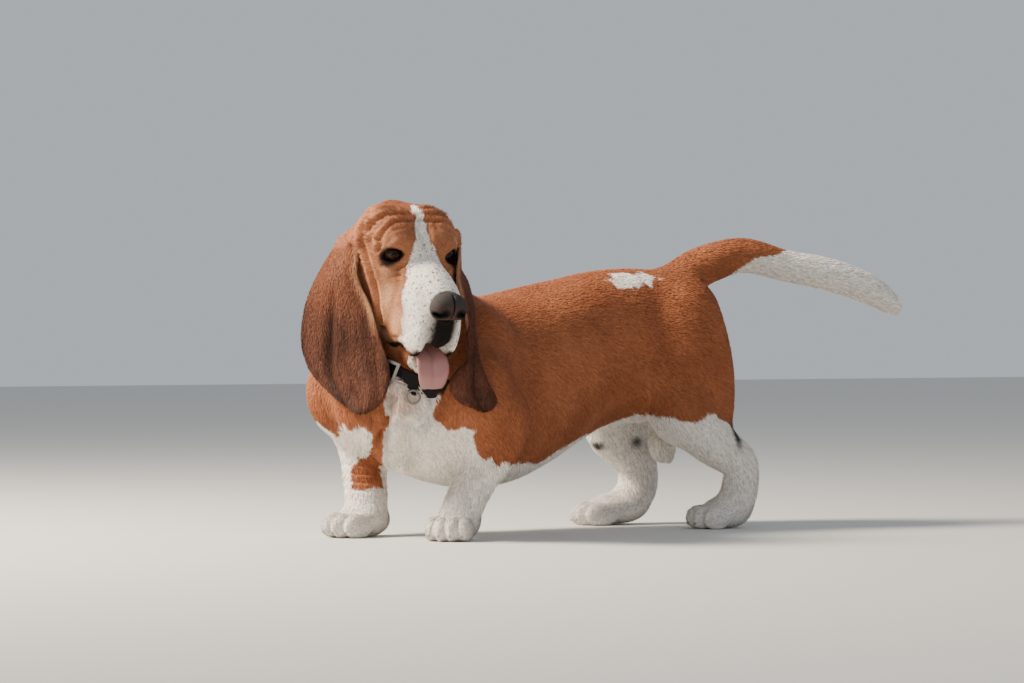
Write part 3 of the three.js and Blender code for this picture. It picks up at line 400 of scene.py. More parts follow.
def earRows(name, ear):
    rows = [(*fromHead(ear["root"][0]), *fromHead(ear["root"][1]), 0)]
    rows += [(*front, z, *back, z, bulge) for z, front, back, bulge in ear["rows"]]
    curve = smoothLine(rows, earFolds["steps"])
    across = np.linspace(0, 1, earFolds["across"])
    sheets = []
    creases = []
    for i, c in enumerate(curve):
        down = i / (len(curve) - 1)
        late = np.clip((down - 1 + earFolds["rounded"]) / earFolds["rounded"], 0, 1)
        spread = 0.5 + (across - 0.5) * math.sqrt(1 - 0.88 * late ** 2)
        front, back, bulge = c[:3], c[3:6], c[6]
        out = unit(np.cross(back - front, (0, 0, 1))) * ear["side"]
        rim = np.where(spread < 0.2, -6 * (1 - spread / 0.2) * min(down * 6, 1), 0)
        lift = np.sin(math.pi * spread) * bulge + rim
        start, end = earFolds[name]
        middle = start + (end - start) * np.clip((down - 0.35) / 0.6, 0, 1)
        amount = np.clip((down - 0.3) / 0.2, 0, 1)
        crease = amount * np.exp(-((spread - middle) / earFolds["creaseWidth"]) ** 2)
        creases.append(crease)
        lift = lift - earFolds["crease"] * crease
        lift = lift + amount * earFolds["ripple"] * np.sin(2 * math.pi * (1.6 * spread + 1.1 * down))
        p = front + (back - front) * spread[:, None] + out * lift[:, None]
        if i > 1.5 * earFolds["steps"]:
            for _ in range(6):
                room = np.interp(p[:, 2], (296, 304, 330), (9, 6, 6 if name == "right" else 2))
                short = earThickness / 2 + room - np.minimum(plainField(p), 40)
                g = slope(plainField, p)
                flat = unit(g * (1, 1, 0.3))
                p = p + flat * np.maximum(short, 0)[:, None] * 0.8
            p = outsideStrap(p)
        if name == "left" and i > 4:
            upper = np.clip((p[:, 2] - earFolds["hugAbove"]) / 20, 0, 1) * np.clip((0.6 - spread) / 0.3, 0, 1)
            for _ in range(3):
                over = plainField(p) - earFolds["hugGap"]
                p = p - unit(slope(plainField, p)) * (over * upper)[:, None]
        sheets.append(p)
    earCreases[name] = np.array(creases)
    grid = np.array(sheets)
    for _ in range(earFolds["smoothing"]):
        grid[10:-1] = (grid[9:-2] + 2 * grid[10:-1] + grid[11:]) / 4
    return grid


earGrids = {name: earRows(name, ear) for name, ear in ears.items()}


def gridTree(grid):
    rows, across = grid.shape[:2]
    faces = [(i * across + j, (i + 1) * across + j, (i + 1) * across + j + 1, i * across + j + 1)
             for i in range(rows - 1) for j in range(across - 1)]
    return BVHTree.FromPolygons([Vector(p) for p in grid.reshape(-1, 3)], faces)


earTrees = {name: gridTree(grid) for name, grid in earGrids.items()}
earBoxes = {name: (grid.reshape(-1, 3).min(axis=0) - 30, grid.reshape(-1, 3).max(axis=0) + 30)
            for name, grid in earGrids.items()}


def earDistance(p):
    d = np.full(len(p), 60.0)
    for name, tree in earTrees.items():
        low, high = earBoxes[name]
        near = np.flatnonzero(((p > low) & (p < high)).all(axis=1))
        for i in near:
            found = tree.find_nearest(Vector(p[i]), 60.0)
            if found[3] is not None:
                d[i] = min(d[i], found[3])
    return d


coat = {"depth": 2.0, "earDepth": 0.8}
earRoot = {"from": 372, "over": 26, "sunk": 8, "sharp": 1, "soft": 14}


def mirrored(h):
    return np.stack([np.abs(h[:, 0]), h[:, 1], h[:, 2]], axis=1)


def skinField(p):
    h = toHead(p)
    look = mirrored(h)
    d = joined(plainField(p), headParts(jaw, h), 3)
    d = joined(d, eyeShape(look, lidRing), 5)
    d = -joined(-d, eyeShape(look, lidOpening), 1.5)
    high = np.clip((p[:, 2] - earRoot["from"]) / earRoot["over"], 0, 1)
    root = earDistance(p) - earThickness / 2 + coat["earDepth"] + earRoot["sunk"] * (1 - high)
    d = joined(d + coat["depth"], root, earRoot["sharp"] + earRoot["soft"] * high)
    return -joined(-d, headParts(noseShape, h) - 0.5, 2)


lidRing = {"out": 2.5, "radii": (18, 14, 13.5)}
lidOpening = {"out": 12, "radii": (13.4, 7.4, 10)}


def eyeShape(look, part):
    out = math.radians(eye["lookOut"])
    up = math.radians(eye["lookUp"])
    ahead = np.array([math.sin(out) * math.cos(up), math.cos(out) * math.cos(up), math.sin(up)])
    wide = unit(np.cross(ahead, (0, 0, 1)))
    high = np.cross(wide, ahead)
    droop = math.radians(eye["droop"])
    a = wide * math.cos(droop) + high * math.sin(droop)
    b = high * math.cos(droop) - wide * math.sin(droop)
    rel = look - np.array(eye["at"]) - ahead * part["out"]
    return ellipsoid(rel @ a, rel @ b, rel @ ahead, part["radii"])


print("skin")


def surfaceNet(distance, low, high, cell, block=4):
    low = np.array(low, float)
    counts = np.ceil((np.array(high) - low) / (cell * block)).astype(int)
    fine = counts * block + 1
    grids = np.meshgrid(*[np.arange(n + 1) * cell * block for n in counts], indexing="ij")
    coarse = distance(np.stack([g.ravel() for g in grids], axis=1) + low).reshape(counts + 1)
    nearest = [np.minimum((np.arange(n) + block // 2) // block, c) for n, c in zip(fine, counts)]
    value = coarse[np.ix_(*nearest)]
    close = np.argwhere(np.abs(value) < cell * block * 1.5)
    batch = 200000
    for start in range(0, len(close), batch):
        part = close[start:start + batch]
        value[tuple(part.T)] = distance(part * cell + low)
    inside = value < 0
    stride = np.array([fine[1] * fine[2], fine[2], 1])
    sums = np.zeros((value.size, 4))
    quads = []
    for axis in range(3):
        step = np.eye(3, dtype=int)[axis]
        size = fine - step
        start = inside[:size[0], :size[1], :size[2]]
        end = inside[step[0]:, step[1]:, step[2]:]
        at = np.argwhere(start != end)
        e, f = (axis + 1) % 3, (axis + 2) % 3
        at = at[(at[:, e] > 0) & (at[:, f] > 0)]
        flat = at @ stride
        a = value.ravel()[flat]
        b = value.ravel()[flat + stride[axis]]
        crossing = at.astype(float)
        crossing[:, axis] += a / (a - b)
        square = ((0, 0), (1, 0), (1, 1), (0, 1))
        ring = np.stack([flat - u * stride[e] - v * stride[f] for u, v in square], axis=1)
        for k in range(4):
            for axisOut in range(3):
                sums[:, axisOut] += np.bincount(ring[:, k], crossing[:, axisOut], value.size)
            sums[:, 3] += np.bincount(ring[:, k], minlength=value.size)
        quads.append(np.where((a < 0)[:, None], ring, ring[:, ::-1]))
    quads = np.concatenate(quads)
    used = np.unique(quads)
    order = np.zeros(value.size, int)
    order[used] = np.arange(len(used))
    points = sums[used, :3] / sums[used, 3:] * cell + low
    return settle(distance, points, cell * 0.4), order[quads]


def refined(points, quads, others, wanted, distance, cell):
    centre = points[quads].mean(axis=1)
    chosen = wanted(centre)
    ends = np.stack([quads, np.roll(quads, -1, axis=1)], axis=2)
    base = 10 ** 8
    keys = ends.min(axis=2).astype(np.int64) * base + ends.max(axis=2)
    split, inverse = np.unique(keys[chosen].ravel(), return_inverse=True)
    middles = (points[split // base] + points[split % base]) / 2
    first = len(points)
    made = settle(distance, np.concatenate([middles, centre[chosen]]), cell * 0.3)
    mid = first + inverse.reshape(-1, 4)
    centreId = first + len(split) + np.arange(chosen.sum())
    corner = quads[chosen]
    small = [np.stack([corner[:, i], mid[:, i], centreId, mid[:, (i + 3) % 4]], axis=1) for i in range(4)]
    kept = ~chosen
    touched = np.isin(keys, split)
    bordering = kept & touched.any(axis=1)
    place = {int(k): first + i for i, k in enumerate(split)}
    for f in np.flatnonzero(bordering):
        ring = []
        for i in range(4):
            ring.append(int(quads[f, i]))
            if touched[f, i]:
                ring.append(place[int(keys[f, i])])
        others.append(ring)
    quads = np.concatenate([quads[kept & ~bordering], *small])
    return np.concatenate([points, made]), quads, others


def eyeGap(h):
    return np.linalg.norm(mirrored(h) - np.array(eye["at"]), axis=1)


def onSkull(h):
    return headParts(skull, h) < 14


def inHead(p):
    h = toHead(p)
    face = onSkull(h) & (h[:, 1] > -60)
    breast = (straighten(p)[:, 0] > 560) & (p[:, 2] > 60) & (p[:, 2] < 300)
    return face | breast | (headParts(jaw, h) < 8) | ((earDistance(p) < 10) & (p[:, 2] > 380))


def inFace(p):
    h = toHead(p)
    mouth = (np.abs(headParts(jaw, h)) < 6) & (headParts(skull, h) < 12) & (h[:, 1] > -10)
    return (eyeGap(h) < 26) | mouth | (np.abs(headParts(noseShape, h)) < 6)


cell = 5.0
skinPoints, skinQuads = surfaceNet(skinField, (-480, -330, -20), (600, 260, 500), cell)
skinOthers = []
skinPoints, skinQuads, skinOthers = refined(skinPoints, skinQuads, skinOthers, inHead, skinField, cell)
skinPoints, skinQuads, skinOthers = refined(skinPoints, skinQuads, skinOthers, inFace, skinField, cell / 2)
skinPoints[:, 2] = np.maximum(skinPoints[:, 2], 0.4)

# Folds of loose skin: a line, its width and depth. The head's are in its own frame and on both sides
headFolds = {
    "brow": ([(0, -28, 38), (18, -22, 39), (36, -21, 38), (50, -19, 28), (57, -20, 12)], 3.0, 6.8),
    "crown": ([(4, -40, 42), (20, -36, 41), (38, -41, 37), (54, -42, 28), (62, -46, 6)], 3.4, 6.2),
    "crown2": ([(20, -56, 42), (40, -58, 38), (56, -62, 22)], 3.2, 4.4),
    "browHook": ([(30, -12, 31), (42, -12, 27), (52, -14, 14), (56, -16, 0)], 2.6, 3.6),
    "frown": ([(8, -26, 38), (7, -8, 32), (5, 8, 20)], 3.0, 2.4),
    "temple": ([(60, -60, 12), (64, -37, -10), (62, -15, -29), (56, 1, -51), (50, 17, -83)], 4.2, 7.5),
    "temple2": ([(44, -80, 34), (60, -56, 18), (66, -44, 2)], 3.2, 5.0),
    "pouch": ([(27, 13, -6), (38, 10, -17), (50, -2, -16)], 2.2, 2.6),
    "pouch2": ([(34, 17, -20), (46, 6, -28), (54, -8, -26)], 3.0, 2.2),
    "cheek": ([(42, 30, -28), (44, 34, -58), (38, 40, -92)], 4.5, 0.8),
    "lip": ([(30, 84, -62), (34, 66, -84), (36, 44, -98)], 3.5, 1.2),
    "philtrum": ([(0, 108, -46), (0, 106, -66), (0, 101, -88)], 1.8, 2.6),
}
bodyFolds = {
    "breast": ([(-350, -115, 196), (-346, -97, 158), (-324, -52, 128), (-308, -14, 104)], 8.0, 20.0),
    "roll": ([(-327, -129, 158), (-310, -92, 130), (-284, -49, 107), (-277, -24, 94)], 7.0, 12.0),
    "throat": ([(-306, -146, 206), (-300, -150, 182), (-306, -139, 161), (-318, -134, 152)], 5.0, 9.0),
    "shoulder": ([(-196, -116, 268), (-180, -128, 220), (-172, -134, 172)], 12.0, 3.0),
    "nape": ([(-214, -92, 330), (-188, -84, 300), (-178, -70, 262)], 9.0, 2.5),
}
hollow = {"at": (170, 92, 252), "radii": (44, 60, 34), "depth": 7}
legRings = {"every": 10.5, "depth": 1.7, "from": 58, "to": 116}


def lineGap(p, line):
    line = smoothLine([(*q, 0) for q in line], 3)
    return strand(p, line)


def foldProfile(gap, width, swell):
    return np.exp(-(gap / width) ** 2) - swell * np.exp(-((gap - 2.2 * width) / width) ** 2)


def foldDepth(p):
    h = mirrored(toHead(p))
    q = straighten(p)
    depth = np.zeros(len(p))
    nearHead = headParts(skull, h) < 12
    for line, width, deep in headFolds.values():
        depth[nearHead] += deep * foldProfile(lineGap(h[nearHead], line), width, 0.35)
    for line, width, deep in bodyFolds.values():
        depth += deep * foldProfile(lineGap(p, line), width, 0.3)
    away = np.stack([q[:, 0], np.abs(q[:, 1]), q[:, 2]], axis=1) - np.array(hollow["at"])
    rel = away / np.array(hollow["radii"])
    depth += hollow["depth"] * np.exp(-(rel ** 2).sum(axis=1) * 1.6)
    wave = np.sin(2 * math.pi * q[:, 2] / legRings["every"] + 0.04 * q[:, 0] + 0.05 * q[:, 1])
    fade = np.clip((q[:, 2] - legRings["from"]) / 16, 0, 1) * np.clip((legRings["to"] - q[:, 2]) / 20, 0, 1)
    onLeg = (q[:, 0] > 500) & (q[:, 0] < 640) & (np.abs(q[:, 1]) > 56)
    return depth + np.where(onLeg, fade * legRings["depth"] * np.maximum(wave, 0) ** 2, 0)


skinPoints = skinPoints - unit(slope(skinField, skinPoints)) * foldDepth(skinPoints)[:, None]


def sheetFaces(rows, across):
    top = [(i * across + j, (i + 1) * across + j, (i + 1) * across + j + 1, i * across + j + 1)
           for i in range(rows - 1) for j in range(across - 1)]
    back = rows * across
    under = [tuple(back + v for v in face[::-1]) for face in top]
    rim = [i * across for i in range(rows)] + [(rows - 1) * across + j for j in range(1, across)]
    rim += [i * across + across - 1 for i in range(rows - 2, -1, -1)] + list(range(across - 2, 0, -1))
    wall = [(a, b, back + b, back + a) for a, b in zip(rim, rim[1:] + rim[:1])]
    return top + under + [face[::-1] for face in wall]


def gridNormal(grid):
    down = np.gradient(grid, axis=0)
    over = np.gradient(grid, axis=1)
    return unit(np.cross(down, over))


def thickSheet(grid, half):
    normal = gridNormal(grid)
    both = [(grid + normal * half).reshape(-1, 3), (grid - normal * half).reshape(-1, 3)]
    return np.concatenate(both), sheetFaces(*grid.shape[:2])


def enclosed(points, faces):
    total = 0.0
    for face in faces:
        for b, c in zip(face[1:-1], face[2:]):
            total += points[face[0]] @ np.cross(points[b], points[c])
    return total


def facingOut(points, faces):
    middle = points.mean(axis=0)
    return [tuple(face[::-1]) for face in faces] if enclosed(points - middle, faces) < 0 else faces


def earSkin(grid):
    spread = np.linspace(-1, 1, grid.shape[1])
    edge = np.sqrt(np.clip(1.03 - np.abs(spread) ** 8, 0.12, 1))
    end = np.sqrt(np.clip(1.03 - np.linspace(0, 1, grid.shape[0]) ** 24, 0.12, 1))
    half = (earThickness / 2 - coat["earDepth"]) * edge[None, :, None] * end[:, None, None]
    points, faces = thickSheet(grid, half)
    return points, facingOut(points, faces)


skinFaces = skinQuads.tolist() + skinOthers
onSheet = np.zeros(len(skinPoints))
rimLight = np.zeros(len(skinPoints))
earCreaseShadeAndLowerEdge = np.zeros(len(skinPoints))
for name, grid in earGrids.items():
    points, faces = earSkin(grid)
    skinFaces += [tuple(v + len(skinPoints) for v in face) for face in faces]
    skinPoints = np.concatenate([skinPoints, points])
    onSheet = np.concatenate([onSheet, np.ones(len(points))])
    across = np.tile(np.linspace(0, 1, grid.shape[1]), 2 * grid.shape[0])
    # Painted highlight: a pale band along the upper front rim of each ear
    lit = 0.6 * np.clip((0.11 - across) / 0.06, 0, 1) * np.clip((points[:, 2] - 276) / 30, 0, 1)
    rimLight = np.concatenate([rimLight, lit])
    # Painted shade: each ear's colour is darkened along its long crease, and the last rows grow darker
    # towards the lower edge
    shade = 0.7 * earCreases[name]
    shade[-6:] = np.maximum(shade[-6:], np.linspace(0, 0.65, 6)[:, None])
    earCreaseShadeAndLowerEdge = np.concatenate([earCreaseShadeAndLowerEdge, np.tile(shade.ravel(), 2)])
print(f"skin has {len(skinFaces)} faces")


print("markings")
view = {"turn": 33, "middle": (0, 120, 0), "away": 5500, "height": 290, "down": 0.246, "lens": 135}
viewTurn = math.radians(view["turn"])
viewRight = np.array((math.cos(viewTurn), -math.sin(viewTurn), 0))
viewAhead = np.array((math.sin(viewTurn), math.cos(viewTurn), 0))

# White marks: height of the lower white edge along the trunk, then blots seen from the front
whiteEdge = {
    "s": [-60, 0, 67, 110, 160, 218, 284, 334, 376, 440, 500, 560],
    "z": [128, 136, 166, 155, 166, 146, 134, 120, 104, 104, 104, 112],
}
frontBlots = [
    (-116, 118, 60, 84, 0, 1), (-134, 190, 26, 40, 0, 1), (-66, 98, 40, 58, 0, 1),
    (-206, 136, 16, 23, 0, 1), (-262, 146, 36, 9, -35, 1), (-228, 100, 14, 60, 0, 1),
    (-203, 92, 17, 21, 0, -1), (-80, 180, 26, 26, 0, -1), (-36, 146, 15, 32, 0, -1),
    (-148, 190, 24, 30, 0, 1),
]
blaze = {
    "y": [-72, -50, -31, 5, 13, 24, 42, 70, 90],
    "middle": [9, 5, 1.5, -5, -4, -1, 0, 0, 0],
    "half": [3, 5, 5, 11, 18, 27, 35, 42, 70],
}
backBlot = {"s": 180, "u": 50, "long": 40, "wide": 15}


def white(p):
    q = straighten(p)
    s, u, z = q.T
    h = toHead(p)
    amount = station(whiteEdge["s"], whiteEdge["z"], s) - z
    rel = (p - np.array(view["middle"])) @ viewRight
    front = np.full(len(p), -40.0)
    for a, b, wide, high, lean, sign in frontBlots:
        x, y = leaned(rel - a, z - b, -lean)
        blot = (1 - np.hypot(x / wide, y / high)) * min(wide, high)
        front = np.maximum(front, blot) if sign > 0 else np.minimum(front, -blot)
    amount = np.where(s > 545, np.maximum(front, 70 - z), amount)
    far = np.hypot((s - backBlot["s"]) / backBlot["long"], (u - backBlot["u"]) / backBlot["wide"])
    amount = np.maximum(amount, (1 - far) * 7 - (z < 300) * 60)
    onTail = (s < 20) & (strand(p, tailLine) < 8)
    rise = z - np.interp(-s, (-20, 48, 150, 300), (365, 392, 370, 310))
    amount = np.where(onTail, (-s - 62 - np.clip(rise, -20, 20) * 2.4) * 0.5, amount)
    onHead = onSkull(h) & (h[:, 1] > -75) & (h[:, 2] > -100)
    half = np.interp(h[:, 1], blaze["y"], blaze["half"])
    off = np.abs(h[:, 0] - np.interp(h[:, 1], blaze["y"], blaze["middle"]))
    amount = np.where(onHead, (half - off) * np.where(h[:, 1] < 12, 1.6, 1), amount)
    muzzle = h[:, 1] - 42 - np.clip(0.6 * (-35 - h[:, 2]), -10, 19)
    amount = np.where(onHead & (h[:, 1] > 12), np.maximum(amount, muzzle * 0.8), amount)
    amount = np.where((h[:, 1] < -74) & onSkull(h), -20, amount)
    lower = (headParts(jaw, h) < 6) & (h[:, 2] < -96)
    amount = np.where(lower, np.where(h[:, 1] > 66, 4, -12), amount)
    return np.clip(amount, -30, 30)


def earness(p):
    below = np.clip((408 - p[:, 2]) / 26, 0, 1)
    return np.clip(1 - (earDistance(p) - earThickness / 2) / 5, 0, 1) * below


darkBlots = [((20, 104, 136), (9, 30, 34)), ((101, -60, 124), (16, 26, 12)), ((150, -72, 118), (12, 20, 10))]


def dark(p):
    q = straighten(p)
    d = np.zeros(len(p))
    for at, radii in darkBlots:
        d = np.maximum(d, 1.6 - 1.6 * np.linalg.norm((q - np.array(at)) / np.array(radii), axis=1))
    h = toHead(p)
    look = mirrored(h)
    skullGap = headParts(skull, h)
    lips = 1.5 - np.maximum(np.abs(headParts(jaw, h)), np.abs(skullGap)) / 3.2
    d = np.maximum(d, np.where(h[:, 1] > -20, lips, 0))
    # Dark lid pigment round the eye opening, its band widened towards the outer and lower side as painted
    # shade
    outer = np.clip((look[:, 0] - eye["at"][0]) / 12, 0, 1) + np.clip(-look[:, 2] / 14, 0, 1)
    d = np.maximum(d, (1.7 - np.abs(eyeShape(look, lidOpening)) / (2.6 + 1.6 * outer)) * (eyeGap(h) < 28))
    # The muzzle front under the nose is painted dark: black lip pigment, widened and darkened with painted
    # shade
    front = (1.9 - np.abs(h[:, 0]) / 13) * np.clip((h[:, 1] - 84) / 8, 0, 1)
    low = np.clip((-36 - h[:, 2]) / 6, 0, 1) * (h[:, 2] > -112) * (np.abs(skullGap) < 9)
    d = np.maximum(d, np.clip(front, 0, 1) * low)
    return np.clip(d, 0, 1)


# Painted shade on the flews' undersides, darker the more they face down where they turn under
def flewUnderShade(h, normal):
    under = np.clip((-normal[:, 2] - 0.25) * 2.6, 0, 1) * (h[:, 2] < -92) * (h[:, 1] > 14)
    return under * (np.abs(headParts(skull, h)) < 6)


def haw(p):
    look = mirrored(toHead(p))
    inner = np.clip(1.4 - np.abs(eyeShape(look, lidOpening) + 1.2) / 1.6, 0, 1)
    return inner * (eyeGap(look) < 20) * np.clip((-look[:, 2] - 1) / 3, 0, 1)


creamParts = {
    "cheek": ((52, 22, -50), (22, 36, 50)),
    "underEye": ((48, 8, -20), (16, 20, 12)),
    "muzzleSide": ((44, 48, -76), (16, 26, 40)),
}
browStripe = [(54, -9, 3), (50, -3, 16), (44, 1, 25)]


def cream(p):
    h = mirrored(toHead(p))
    nearHead = onSkull(h)
    d = np.zeros(len(p))
    for at, radii in creamParts.values():
        d = np.maximum(d, 1.5 - 1.5 * np.linalg.norm((h - np.array(at)) / np.array(radii), axis=1))
    d = np.maximum(d, 1.2 - lineGap(h, browStripe) / 5)
    face = np.clip((14 - headParts(skull, h)) / 10, 0, 1) * np.clip((h[:, 1] + 90) / 50, 0, 1)
    d = np.where(nearHead, np.maximum(d, 0.34 * face * (white(p) < -3)), 0)
    dewlapGap = np.linalg.norm((p - np.array((-332, -124, 190))) / np.array((40, 26, 34)), axis=1)
    return np.clip(np.maximum(d, 1.3 - 1.3 * dewlapGap), 0, 1)


def lie(p, normal):
    q = straighten(p)
    s, u, z = q.T
    h = toHead(p)
    heading = heading0 + s / spine["bendRadius"]
    back = np.stack([np.cos(heading), np.sin(heading), np.zeros(len(p))], axis=1)
    down = np.array((0, 0, -1.0))
    drop = np.clip((300 - z) / 160, 0, 1.6)[:, None]
    flow = back + down * (0.25 + drop)
    flow = np.where((z < 90)[:, None], back * 0.2 + down, flow)
    paws = (z < 34)[:, None]
    flow = np.where(paws, -back * 0.9 + down * 0.6, flow)
    onTail = ((s < 30) & (strand(p, tailLine) < 8))[:, None]
    flow = np.where(onTail, np.array((0.93, -0.15, -0.25)), flow)
    face = (onSkull(h) & (h[:, 1] > -110))[:, None]
    side = headAxes[0] * np.sign(h[:, :1])
    muzzleFlow = -headAxes[1] + side * 0.35 - headAxes[2] * np.clip((10 - h[:, 2:]) / 40, 0, 1.5)
    flow = np.where(face, muzzleFlow, flow)
    onEar = (earness(p) > 0.5)[:, None]
    flow = np.where(onEar, down + np.array((0.12, 0.05, 0)), flow)
    flow = flow - normal * (flow * normal).sum(axis=1)[:, None]
    return unit(flow)


def meshOf(name, points, faces, smooth=True):
    faces = facingOut(np.asarray(points), faces)
    mesh = bpy.data.meshes.new(name)
    mesh.from_pydata(((np.asarray(points) + toRow) / 1000).tolist(), [], faces)
    mesh.polygons.foreach_set("use_smooth", [smooth] * len(mesh.polygons))
    mesh.update()
    made = bpy.data.objects.new(name, mesh)
    bpy.context.scene.collection.objects.link(made)
    return made


def attribute(made, name, values, kind="FLOAT"):
    data = made.data.attributes.new(name, kind, "POINT").data
    data.foreach_set("vector" if kind == "FLOAT_VECTOR" else "value", np.asarray(values, np.float32).ravel())


def normalsOf(made):
    out = np.zeros(len(made.data.vertices) * 3, np.float32)
    made.data.vertices.foreach_get("normal", out)
    return out.reshape(-1, 3)


skin = meshOf("skin", skinPoints, skinFaces)
skinNormal = normalsOf(skin)
headPlace = toHead(skinPoints)
skinEar = np.maximum(earness(skinPoints), onSheet)
# Dark marks and pigment mixed with painted shade: round the eyes, on the muzzle front and under the flews
darkness = np.maximum(dark(skinPoints), flewUnderShade(headPlace, skinNormal)) * (1 - onSheet)
# The ears' painted crease shade joins the dark mix
darkness = np.maximum(darkness, earCreaseShadeAndLowerEdge)
attribute(skin, "white", white(skinPoints) * (1 - skinEar) - 20 * skinEar)
attribute(skin, "ear", skinEar * np.clip((450 - skinPoints[:, 2]) / 155, 0.15, 1))
muzzleTicks = np.clip((headPlace[:, 1] + 20) / 30, 0, 1) * onSkull(headPlace)
attribute(skin, "tick", 0.25 + 0.75 * muzzleTicks)
attribute(skin, "dark", darkness)
# The cream mix also carries the ears' painted rim highlight
attribute(skin, "cream", np.maximum(cream(skinPoints) * (1 - skinEar), rimLight))
attribute(skin, "haw", haw(skinPoints) * (1 - skinEar))
attribute(skin, "lie", lie(skinPoints, skinNormal), "FLOAT_VECTOR")
onFace = np.clip((14 - headParts(skull, headPlace)) / 4, 0, 1) * np.clip((headPlace[:, 1] + 40) / 40, 0, 1)
nearEye = np.clip((eyeShape(mirrored(headPlace), lidOpening) - 1) / 5, 0, 1)
nearNose = np.clip((headParts(noseShape, headPlace) - 1.5) / 4, 0, 1)
bare = np.minimum(np.maximum(nearEye, eyeGap(headPlace) > 26), nearNose)
lowDown = np.clip(skinPoints[:, 2] / 60, 0, 1)
tuftSize = (1 - 0.55 * onFace) * (0.45 + 0.55 * lowDown) * (1 - 0.3 * skinEar) * (0.35 + 0.65 * bare)
attribute(skin, "tuftSize", tuftSize)
attribute(skin, "tuftShare", (skinPoints[:, 2] > 3) * (bare > 0.05) / (0.35 + 0.65 * tuftSize))

bpy.context.view_layer.objects.active = skin
skin.select_set(True)
bpy.ops.object.mode_set(mode="EDIT")
bpy.ops.mesh.select_all(action="SELECT")
bpy.ops.uv.smart_project(angle_limit=1.15, island_margin=0.002)
bpy.ops.object.mode_set(mode="OBJECT")
skin.data.uv_layers.active.name = "OFBake"
skin.select_set(False)

print("shaders")


def shaderGroup(name, inputs, outputs):
    tree = bpy.data.node_groups.new(name, "ShaderNodeTree")
    for label, kind, value in inputs:
        made = tree.interface.new_socket(label, in_out="INPUT", socket_type=kind)
        made.default_value = value
    for label, kind in outputs:
        tree.interface.new_socket(label, in_out="OUTPUT", socket_type=kind)
    return tree, tree.nodes.new("NodeGroupInput"), tree.nodes.new("NodeGroupOutput")


def node(tree, kind, **settings):
    made = tree.nodes.new(kind)
    for key, value in settings.items():
        setattr(made, key, value)
    return made


def wire(tree, start, end):
    tree.links.new(start, end)


def maths(tree, operation, a, b=None, clamp=False):
    made = node(tree, "ShaderNodeMath", operation=operation, use_clamp=clamp)
    for socket, value in zip(made.inputs, (a, b)):
        if value is None:
            continue
        if isinstance(value, (int, float)):
            socket.default_value = value
        else:
            wire(tree, value, socket)
    return made.outputs[0]


def mixed(tree, factor, a, b):
    made = node(tree, "ShaderNodeMix", data_type="RGBA")
    for socket, value in ((made.inputs[0], factor), (made.inputs[6], a), (made.inputs[7], b)):
        if isinstance(value, (int, float, tuple)):
            socket.default_value = value
        else:
            wire(tree, value, socket)
    return made.outputs[2]


coatLook = {
    "rust": (0.215, 0.060, 0.026, 1), "rustLight": (0.46, 0.165, 0.072, 1),
    "chestnut": (0.050, 0.019, 0.013, 1),
    "earLight": (0.135, 0.049, 0.029, 1), "earSpot": (0.022, 0.010, 0.008, 1), "white": (0.83, 0.78, 0.72, 1),
    "tick": (0.26, 0.15, 0.11, 1), "dark": (0.008, 0.005, 0.005, 1), "cream": (0.64, 0.33, 0.18, 1),
    "haw": (0.36, 0.07, 0.055, 1),
}


